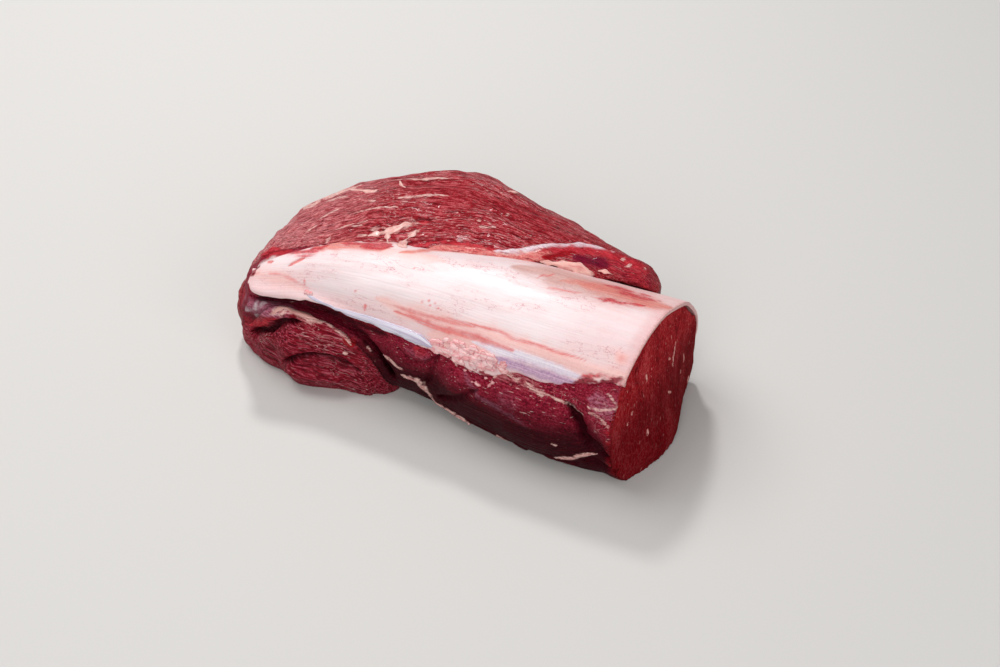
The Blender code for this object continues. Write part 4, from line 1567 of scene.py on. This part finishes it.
SKIN_MARKS = BORDER_MARKS + (
    red(margin_line(Edge.FAR, -108, -66, -0.2), 1.9, 1.2, ragged=0.9),
    red(margin_line(Edge.FAR, -50, -38, 0.2), 1.6, 1.0, ragged=0.9),
    orange(((-72, -2, 59), (-65, 1, 60), (-58, 3, 61), (-53, 3.5, 62), (-47, 4, 63), (-38, 6, 63)),
        3.2, 1.25, ragged=0.8),
    fringe(margin_line(Edge.FAR, -64, -34, -1.2), 2.8, 1.0, ragged=0.9),
    red(margin_line(Edge.FAR, 60, 104, 0.4), 2.0, 1.1, ragged=1.2),
    orange(margin_line(Edge.FAR, 62, 100, -2.0), 2.6, 0.6, ragged=1.0),
    peach(margin_line(Edge.FAR, -46, -6, -2.5), 3.4, 1.1, ragged=0.7),
    red(margin_line(Edge.NEAR, 58, 98, 0.2), 2.0, 1.1, ragged=1.0),
    red(margin_line(Edge.NEAR, -8, 32, 0.0), 1.6, 1.1, ragged=1.2),
    fringe(margin_line(Edge.NEAR, 12, 34, -1.5), 1.6, 0.6, ragged=1.3),
    # the salmon streaks along the near side, the bluish band and the lilac patch below them
    peach(((-34, -18, 55), (-22, -20, 55), (-8, -22, 55), (2, -23, 55), (12, -24, 56), (22, -26, 56),
        (38, -27, 57)), 4.4, 0.9),
    blush(((-25, -21, 53), (-12, -22.5, 53), (-4, -24, 53), (2, -24, 53), (10, -25, 54), (17, -26, 55),
        (24, -27, 55), (36, -28, 55)), 1.6, 0.9),
    blush(((-26, -20, 55), (-13, -21, 55), (-1, -22, 56), (14, -22.5, 57.5)), 1.2, 0.7),
    blush(((-4, -21, 57), (6, -21, 57), (18, -22, 58), (26, -23, 59), (32, -25, 59), (38, -25, 59),
        (45, -26, 60), (53, -27, 60), (60, -27, 60), (67, -28, 60)), 0.7, 0.9, ragged=0.2),
    peach(((0, -22, 56), (14, -24, 57), (32, -26, 58), (45, -28, 58), (54, -29, 58), (64, -30, 57),
        (76, -30, 58), (96, -29, 59)), 4.2, 0.95),
    peach(((-7, -27, 50), (4, -28, 51), (14, -29, 51), (24, -31, 50)), 4.4, 1.3),
    peach(((-44, 2, 64), (-36, 4, 64), (-28, 4, 64), (-20, 4, 65), (-10, 3, 66)), 4.2, 0.75, ragged=0.6),
    peach(((80, -24, 63),), 2.6, 1.2),
    blush(((80, -24, 63),), 1.8, 0.5),
    film(((14, -27, 53), (26, -29, 54), (39, -30, 55), (48, -31, 55), (56, -32, 55), (68, -33, 54)),
        1.9, 1.1, ragged=0.2),
    lilac(((26, -31, 51), (36, -32.5, 51), (46, -33.5, 51), (55, -34, 51), (66, -35, 50)),
        2.7, 1.2, ragged=0.3),
    fringe(((63, -33, 53), (69, -32, 56), (76, -31, 57), (83, -32, 55)), 1.1, 0.85, ragged=0.9),
    # painted shade and the red stain under the wing's free end
    haze(((20, 10, 67), (36, 12, 66), (50, 11, 66), (64, 10, 66), (76, 9, 66), (92, 10, 65)), 9.0, 1.1),
    blush(((32, 5, 68), (34, 9, 67), (36, 9, 67), (38, 13, 66)), 0.7, 0.8),
    blush(((38, 0, 69), (46, 1, 69), (54, 3, 69)), 1.0, 0.6),
    orange(((42, 8, 67), (54, 13, 65), (64, 16, 63)), 2.2, 0.7, ragged=0.6),
    orange(((50, 10, 66), (62, 11, 65), (72, 11, 65), (80, 10, 65), (92, 10, 65)), 7.5, 0.95, ragged=0.4),
    fringe(((60, 16, 63), (68, 17, 62), (76, 17, 62), (86, 15, 63)), 1.6, 0.8, ragged=1.2),
    fringe(((66, 12, 64), (74, 13, 64), (84, 13, 64)), 2.8, 0.75, ragged=1.2),
    fringe(((58, 2, 69), (68, 2, 69), (73, 2.5, 69), (82, 5, 68)), 1.3, 1.0, ragged=1.0),
    # the rosy head, with nicks, vessels and specks
    fringe(((-99, -9, 47), (-97, -7, 50)), 1.8, 1.2),
    peach(((-100, -14, 46), (-92, -17, 50), (-82, -18, 51), (-70, -19, 49)), 4.0, 0.7),
    blush(((-91, -12, 54), (-88, -12, 55)), 0.8, 1.1, lift=-0.5),
    blush(((-80, -13, 56), (-77, -10, 57), (-74, -8, 58)), 0.7, 1.1, lift=-0.5, ragged=0.2),
    blush(((-96, -17, 49), (-84, -16, 52), (-74, -17, 51), (-67, -18, 50)), 0.8, 0.5, ragged=0.9),
    blush(((-70, -18, 51), (-71, -16, 53)), 0.5, 0.7, ragged=0.9),
    blush(((-39, -19, 52), (-39, -22, 49)), 0.6, 0.9),
    *(blush((place,), 0.6, 0.9) for place in (
        (-45, -17, 55), (-22, -4, 65), (-13, -17, 59), (-10, -16.5, 60), (-9, -18, 59), (-7, -17, 60),
        (-5, -18.5, 59),
    )),
)


# ---------------------------------------------------------------- what lies on them


@dataclass(frozen=True)
class Strand:
    """A strip of tissue along named places: a closed tube, pressed flat on what it lies on.

    Attributes:
        points: The places it runs through.
        widths: Its half widths, at even shares of its length.
        height: How far it stands up in the middle.
        ragged: How uneven its sides are, as a share of the width.
        lift: How far off the surface it runs, at even shares of its length.
        rise: How far its left side stands above its right side.
    """

    points: Route
    widths: tuple[float, ...]
    height: float = 0.9
    ragged: float = 0.15
    lift: tuple[float, ...] = (0.0, 0.0)
    rise: float = 0.0

    def build(self, ground: Ground, name: str, around: int = 14, cell: float = 0.7) -> Piece:
        """Makes the strip.

        Args:
            ground: What it lies on.
            name: The piece's name.
            around: How many cells it has round its section.
            cell: How long each is, in millimetres.

        Returns:
            The piece.
        """
        line = smooth_line(self.points, 200)
        length = float(np.linalg.norm(np.diff(line, axis=0), axis=1).sum())
        piece, along, turn = add_grid(name, max(8, round(length / cell)), around)
        turn = 2 * math.pi * turn
        sculpt = Sculpt(piece)
        sculpt.put(self.lay(ground, along, turn))
        sculpt.paint("rise", np.clip(0.55 + 0.5 * np.sin(turn), 0, 1))
        sculpt.paint("grain", np.stack([along * length, turn * 1.2, 0 * turn], axis=1))
        tidy_mesh(piece)
        return piece

    def lay(self, ground: Ground, along: Array, turn: Array) -> Array:
        """Where each vertex of the tube goes.

        Args:
            ground: What it lies on.
            along: Each vertex's share of the length.
            turn: Its angle round the section.

        Returns:
            The places.
        """
        shares, back = np.unique(np.round(along, 6), return_inverse=True)
        count = len(shares)
        line = smooth_line(self.points, count)
        base, outward = ground.nearest(line)
        run = np.gradient(line, axis=0)
        run /= np.linalg.norm(run, axis=1)[:, None]
        side = np.cross(outward, run)
        side /= np.linalg.norm(side, axis=1)[:, None]
        tips = np.sqrt(np.clip(np.minimum(shares, 1 - shares) * count / 4, 0, 1))
        width, lift = smooth_values(self.widths, shares) * tips, smooth_values(self.lift, shares)
        sides = np.stack([shares * count / 3, np.sign(np.cos(turn[:count])) * 9, 0 * shares], axis=1)
        wobble = 1 + self.ragged * ripple(sides, 7)
        reach = (width * wobble)[back] * np.cos(turn)
        point, way = ground.nearest(base[back] + side[back] * reach[:, None])
        up, full = np.sin(turn), np.clip(width / max(self.widths), 0, 1)[back]
        height = np.where(up > 0, self.height * np.abs(up) ** 0.8, 0.5 * up) * full
        height = height + lift[back] + self.rise * (np.cos(turn) * 0.5 + 0.5) * full
        return point + way * height[:, None]


@dataclass(frozen=True)
class Lumps:
    """A cluster of soft knobs grown together, on a band of the surface.

    Attributes:
        upper: The band's upper line.
        lower: Its lower line.
        count: How many knobs.
        sizes: The smallest and the largest radius.
        seed: Sets their places.
        voxel: Size of the joined mesh's cells, in millimetres.
    """

    upper: Route
    lower: Route
    count: int
    sizes: tuple[float, float]
    seed: int
    voxel: float = 0.38

    def build(self, ground: Ground, name: str) -> Piece:
        """Makes one knob, copies it over the band and joins the copies.

        Args:
            ground: What they lie on.
            name: The piece's name.

        Returns:
            The piece.
        """
        steps = 50
        draw = np.random.default_rng(self.seed)
        upper, lower = smooth_line(self.upper, steps), smooth_line(self.lower, steps)
        at = draw.uniform(0, steps - 1, self.count).astype(int)
        down = draw.uniform(0, 1, self.count)[:, None]
        places, ways = ground.nearest(upper[at] * (1 - down) + lower[at] * down)
        deselect()
        bpy.ops.mesh.primitive_ico_sphere_add(subdivisions=3, radius=1)
        first = bpy.context.object
        ball, unit = first.data.copy(), Sculpt(first).normals
        knobs = []
        for place, way in zip(places, ways):
            radius = self.sizes[0] + (self.sizes[1] - self.sizes[0]) * draw.uniform() ** 2
            knob = bpy.data.objects.new(name, ball.copy())
            bpy.context.scene.collection.objects.link(knob)
            bumpy = unit * (1 + 0.3 * ripple(unit * 1.6 + draw.uniform(0, 90, 3), 8))[:, None]
            stretch = bumpy * (1.3, 1.0, 1.0)
            flat = stretch - 0.4 * (stretch @ way)[:, None] * way
            Sculpt(knob).put(place + flat * radius)
            knobs.append(knob)
        bpy.data.objects.remove(first)
        choose(*knobs)
        bpy.ops.object.join()
        piece = bpy.context.object
        piece.name = name
        finish_with(piece, "REMESH", mode="VOXEL", voxel_size=self.voxel * MM)
        finish_with(piece, "SMOOTH", factor=0.5, iterations=4)
        sculpt = Sculpt(piece)
        base, outward = ground.nearest(sculpt.places)
        sculpt.paint("rise", smooth_step(0.1, 0.9, np.sum((sculpt.places - base) * outward, axis=1)))
        sculpt.paint("grain", sculpt.places)
        return piece


@dataclass(frozen=True)
class Layer:
    """Strands or lumps of one kind, joined into one piece.

    Attributes:
        name: The piece's name.
        finish: What it is made of.
        parts: The strands and lumps.
        slot: Not used.
    """

    name: str
    finish: Tissue
    parts: tuple[Strand | Lumps, ...]
    slot: str = "silverskin"

    def build(self, ground: Ground) -> Piece:
        """Makes the piece and dresses it.

        Args:
            ground: What it lies on.

        Returns:
            The piece.
        """
        made = [part.build(ground, f"{self.name}_{i}") for i, part in enumerate(self.parts)]
        choose(*made)
        if len(made) > 1:
            bpy.ops.object.join()
        piece = bpy.context.object
        piece.name = self.name
        piece.data.materials.clear()
        piece.data.materials.append(self.finish.build())
        choose(piece)
        bpy.ops.object.shade_smooth()
        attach(piece, "root")
        return piece


WET_TENDON = Tissue("wet_tendon", "#e4dfe9", "#a896b2", "#d28f9c", (0.02, 1.2, 1.2), 0.35)
SOFT_FAT = Tissue("soft_fat", "#eeb9ae", "#d38a84", "#a83644")
KNOTTED_FAT = Tissue("knotted_fat", "#f8cfcd", "#ea9a9c", "#b03a4a", cells=0.33)
TORN_FASCIA = Tissue("torn_fascia", "#eebdb4", "#cf8a82", "#b03a44", (0.3, 0.9, 0.9))

# the rolled edge of the silverskin, on its near side
ROLLED_EDGE = (
    Strand(
        (
            (-68, -20, 48), (-61, -21.5, 47), (-53, -22.5, 46.5), (-44, -23.5, 46.5), (-36, -24, 46.5),
            (-29, -25, 46.5), (-22, -26, 46.5), (-14, -27, 46.5), (-9, -27.5, 46), (-4, -28.5, 45),
        ),
        (0.7, 0.8, 1.2, 1.6, 2.1, 2.4, 2.5, 2.3, 0.8), 1.0, 0.06, (0, 0, 0.1, 0.3, 0.8),
    ),
)
# the knots of fat under the salmon streaks: the main bank, its end, a few at the head, and the lowest
KNOTS = (
    Lumps(
        ((-6, -27, 48), (4, -27, 50), (14, -28.5, 51), (27, -31, 51)),
        ((-5, -29, 42.5), (6, -31, 43), (15, -32.5, 43), (26, -33.5, 47)), 170, (0.6, 1.7), 3,
    ),
    Lumps(((14, -29, 50), (31, -31.5, 51)), ((15, -33.5, 43.5), (33, -34.5, 46.5)), 70, (0.45, 1.2), 6),
    Lumps(((-69, -17.5, 50), (-66, -19, 49)), ((-69, -19.5, 48), (-66, -20.5, 47)), 9, (0.6, 1.2), 2),
    Lumps(
        ((11, -33, 44), (20, -34, 43), (27, -34.5, 41)),
        ((14, -34, 38), (20, -36, 35), (27, -35.5, 37)), 24, (0.4, 0.95), 5,
    ),
)
# the torn fascia on the wing: two long flaps and their fork, then small ones
FLAPS = (
    Strand(
        ((-53, 15, 58), (-49, 18, 59), (-46, 20, 60), (-42, 23, 60), (-39, 27, 60), (-36, 28, 60)),
        (0.5, 1.2, 1.0, 1.9, 1.2, 0.5), 0.3, 1.1, rise=0.8,
    ),
    Strand(((-45, 20, 60), (-43, 15, 60), (-40, 10, 62)), (1.4, 0.7, 0.5), 0.25, 0.9),
    Strand(
        ((-32, 24, 61), (-33, 20, 61), (-35, 16, 61), (-34, 11, 62), (-31, 9, 63)),
        (0.6, 1.2, 1.0, 2.1, 1.2), 0.3, 1.0, rise=0.7,
    ),
    Strand(
        ((-79, 51.5, 51), (-74, 49.5, 53), (-68, 48.5, 54.5), (-64, 49, 55.5), (-64, 52, 55)),
        (0.5, 0.7, 1.0, 0.8, 0.3), 0.3, 0.9, rise=0.4,
    ),
    Strand(((-56, 61, 54), (-53, 56, 56), (-50, 54, 57)), (0.5, 0.7, 0.4), 0.25, 0.4),
    Strand(((-5, 70, 55), (-2, 72, 54), (0, 74, 52.5)), (0.4, 0.9, 0.3), 0.6, 0.8, (0.0, 0.5)),
)
# the fat in front of the lobe, then the fat under the wing's free end
SOFT_PIECES = (
    Strand(
        ((-84, -25, 35.5), (-79, -23, 38), (-74, -22, 38.5), (-68, -22, 38), (-62, -22, 37)),
        (0.5, 1.3, 1.7, 1.3, 0.4), 0.5, 0.9,
    ),
    Strand(
        ((27, 24, 60), (33, 25.3, 59.5), (39, 26.2, 59.2), (45, 26.6, 58.8), (52, 26, 57.5)),
        (0.5, 1.3, 2.0, 2.6, 1.4), 0.9, 0.5,
    ),
    Lumps(
        ((36, 27, 60), (44, 28, 59.5), (51, 27.5, 58.5)),
        ((38, 25.5, 58.5), (46, 25, 58), (53, 25.5, 57.5)), 26, (0.35, 1.2), 9,
    ),
    Strand(((53, 28.5, 58.5), (56, 29, 58.5), (60, 29, 58)), (0.4, 0.8, 0.3), 0.4, 0.9),
)
LAYERS = (
    Layer("tendon", WET_TENDON, ROLLED_EDGE),
    Layer("fat_knots", KNOTTED_FAT, KNOTS),
    Layer("torn_flaps", TORN_FASCIA, FLAPS),
    Layer("soft_fat_pieces", SOFT_FAT, SOFT_PIECES),
)


# ---------------------------------------------------------------- the studio


@dataclass(frozen=True)
class Lamp:
    """A soft square light.

    Attributes:
        name: What it is called.
        place: Where it hangs, in metres.
        size: Its width, in metres.
        power: In watts.
    """

    name: str
    place: Place
    size: float
    power: float

    def build(self, aim: Place) -> None:
        """Adds the light.

        Args:
            aim: The point that it faces, in metres.
        """
        deselect()
        bpy.ops.object.light_add(type="AREA", location=self.place)
        lamp = bpy.context.object
        lamp.name = self.name
        lamp.rotation_euler = (Vector(aim) - Vector(self.place)).to_track_quat("-Z", "Y").to_euler()
        lamp.data.size = self.size
        lamp.data.energy = self.power


@dataclass
class Studio:
    """The pale floor, the soft lights and the camera at the photograph's angle.

    Attributes:
        azimuth: Where the camera stands, in degrees round from straight ahead.
        elevation: How high it looks from, in degrees.
        lens: Its focal length, in millimetres.
        sensor: The width of its sensor, in millimetres.
        distance: From the camera to the aim, in metres.
        aim: The point of the meat that it is aimed by, in metres.
        picture: The photograph's width and height, in pixels.
        pixel: Where the aim appears in it.
        lamps: The lights.
        sky: The colour of the light from all round.
        sky_strength: How strong that is.
        floor: The floor's width, in metres.
    """

    azimuth: float = 20.0
    elevation: float = 45.0
    lens: float = 60.0
    sensor: float = 36.0
    distance: float = 0.758
    aim: Place = (0.006158, -0.027972, 0.03)
    picture: tuple[int, int] = (1000, 667)
    pixel: tuple[float, float] = (465.0, 330.0)
    lamps: tuple[Lamp, ...] = (
        Lamp("key", (-0.55, 0.1, 1.1), 0.8, 7.7),
        Lamp("front", (0.1, -1.2, 0.9), 1.0, 7.5),
        Lamp("side", (1.1, -0.5, 0.75), 0.8, 3.5),
        Lamp("glint", (-0.35, 0.65, 1.0), 0.14, 6.0),
    )
    sky: str = "#e8ebf0"
    sky_strength: float = 0.25
    floor: float = 6.0

    def build(self) -> None:
        """Makes the floor, the lights, the sky and the camera."""
        deselect()
        bpy.ops.mesh.primitive_plane_add(size=self.floor)
        floor = bpy.context.object
        floor.name = "studio_floor"
        floor.data.materials.append(PaintedFloor().build())
        for lamp in self.lamps:
            lamp.build(self.aim)
        world = bpy.data.worlds.new("soft_sky")
        bpy.context.scene.world = world
        world.use_nodes = True
        sky = world.node_tree.nodes["Background"]
        sky.inputs["Color"].default_value = linear(self.sky)
        sky.inputs["Strength"].default_value = self.sky_strength
        bpy.context.scene.view_settings.view_transform = "Standard"
        self.camera()

    def camera(self) -> None:
        """Places the camera so that the aim appears at its pixel."""
        turn, tilt = math.radians(self.azimuth), math.radians(self.elevation)
        back = (math.sin(turn) * math.cos(tilt), -math.cos(turn) * math.cos(tilt), math.sin(tilt))
        back, right = Vector(back), Vector((math.cos(turn), math.sin(turn), 0))
        up = back.cross(right)
        width, height = self.picture
        focal = self.lens / self.sensor * width
        sideways = (self.pixel[0] - width / 2) / focal * self.distance
        upwards = (height / 2 - self.pixel[1]) / focal * self.distance
        place = Vector(self.aim) + back * self.distance - right * sideways - up * upwards
        deselect()
        bpy.ops.object.camera_add(location=place)
        camera = bpy.context.object
        camera.rotation_euler = back.to_track_quat("Z", "Y").to_euler()
        camera.data.lens = self.lens
        camera.data.sensor_width = self.sensor
        bpy.context.scene.camera = camera


def report(piece: Piece) -> None:
    """Logs a finished piece's name and size.

    Args:
        piece: The piece.
    """
    piece.data.calc_loop_triangles()
    low, high = (np.array([pick(c[i] for c in piece.bound_box) for i in range(3)]) for pick in (min, max))
    size = " x ".join(f"{side / MM:.1f}" for side in high - low)
    Log.info("%s: %d triangles, %s mm", piece.name, len(piece.data.loop_triangles), size)


def main() -> None:
    """Builds the flesh, the silverskin and what lies on them, then the studio."""
    logging.basicConfig(level=logging.INFO, format="%(message)s")
    flesh = Flesh().build()
    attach(flesh, "root")
    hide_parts("meat")
    report(flesh)
    skin = Silverskin().build()
    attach(skin, "root")
    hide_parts("silverskin")
    report(skin)
    ground = Ground(flesh, skin)
    for layer in LAYERS:
        report(layer.build(ground))
    Studio().build()


if __name__ == "__main__":
    main()
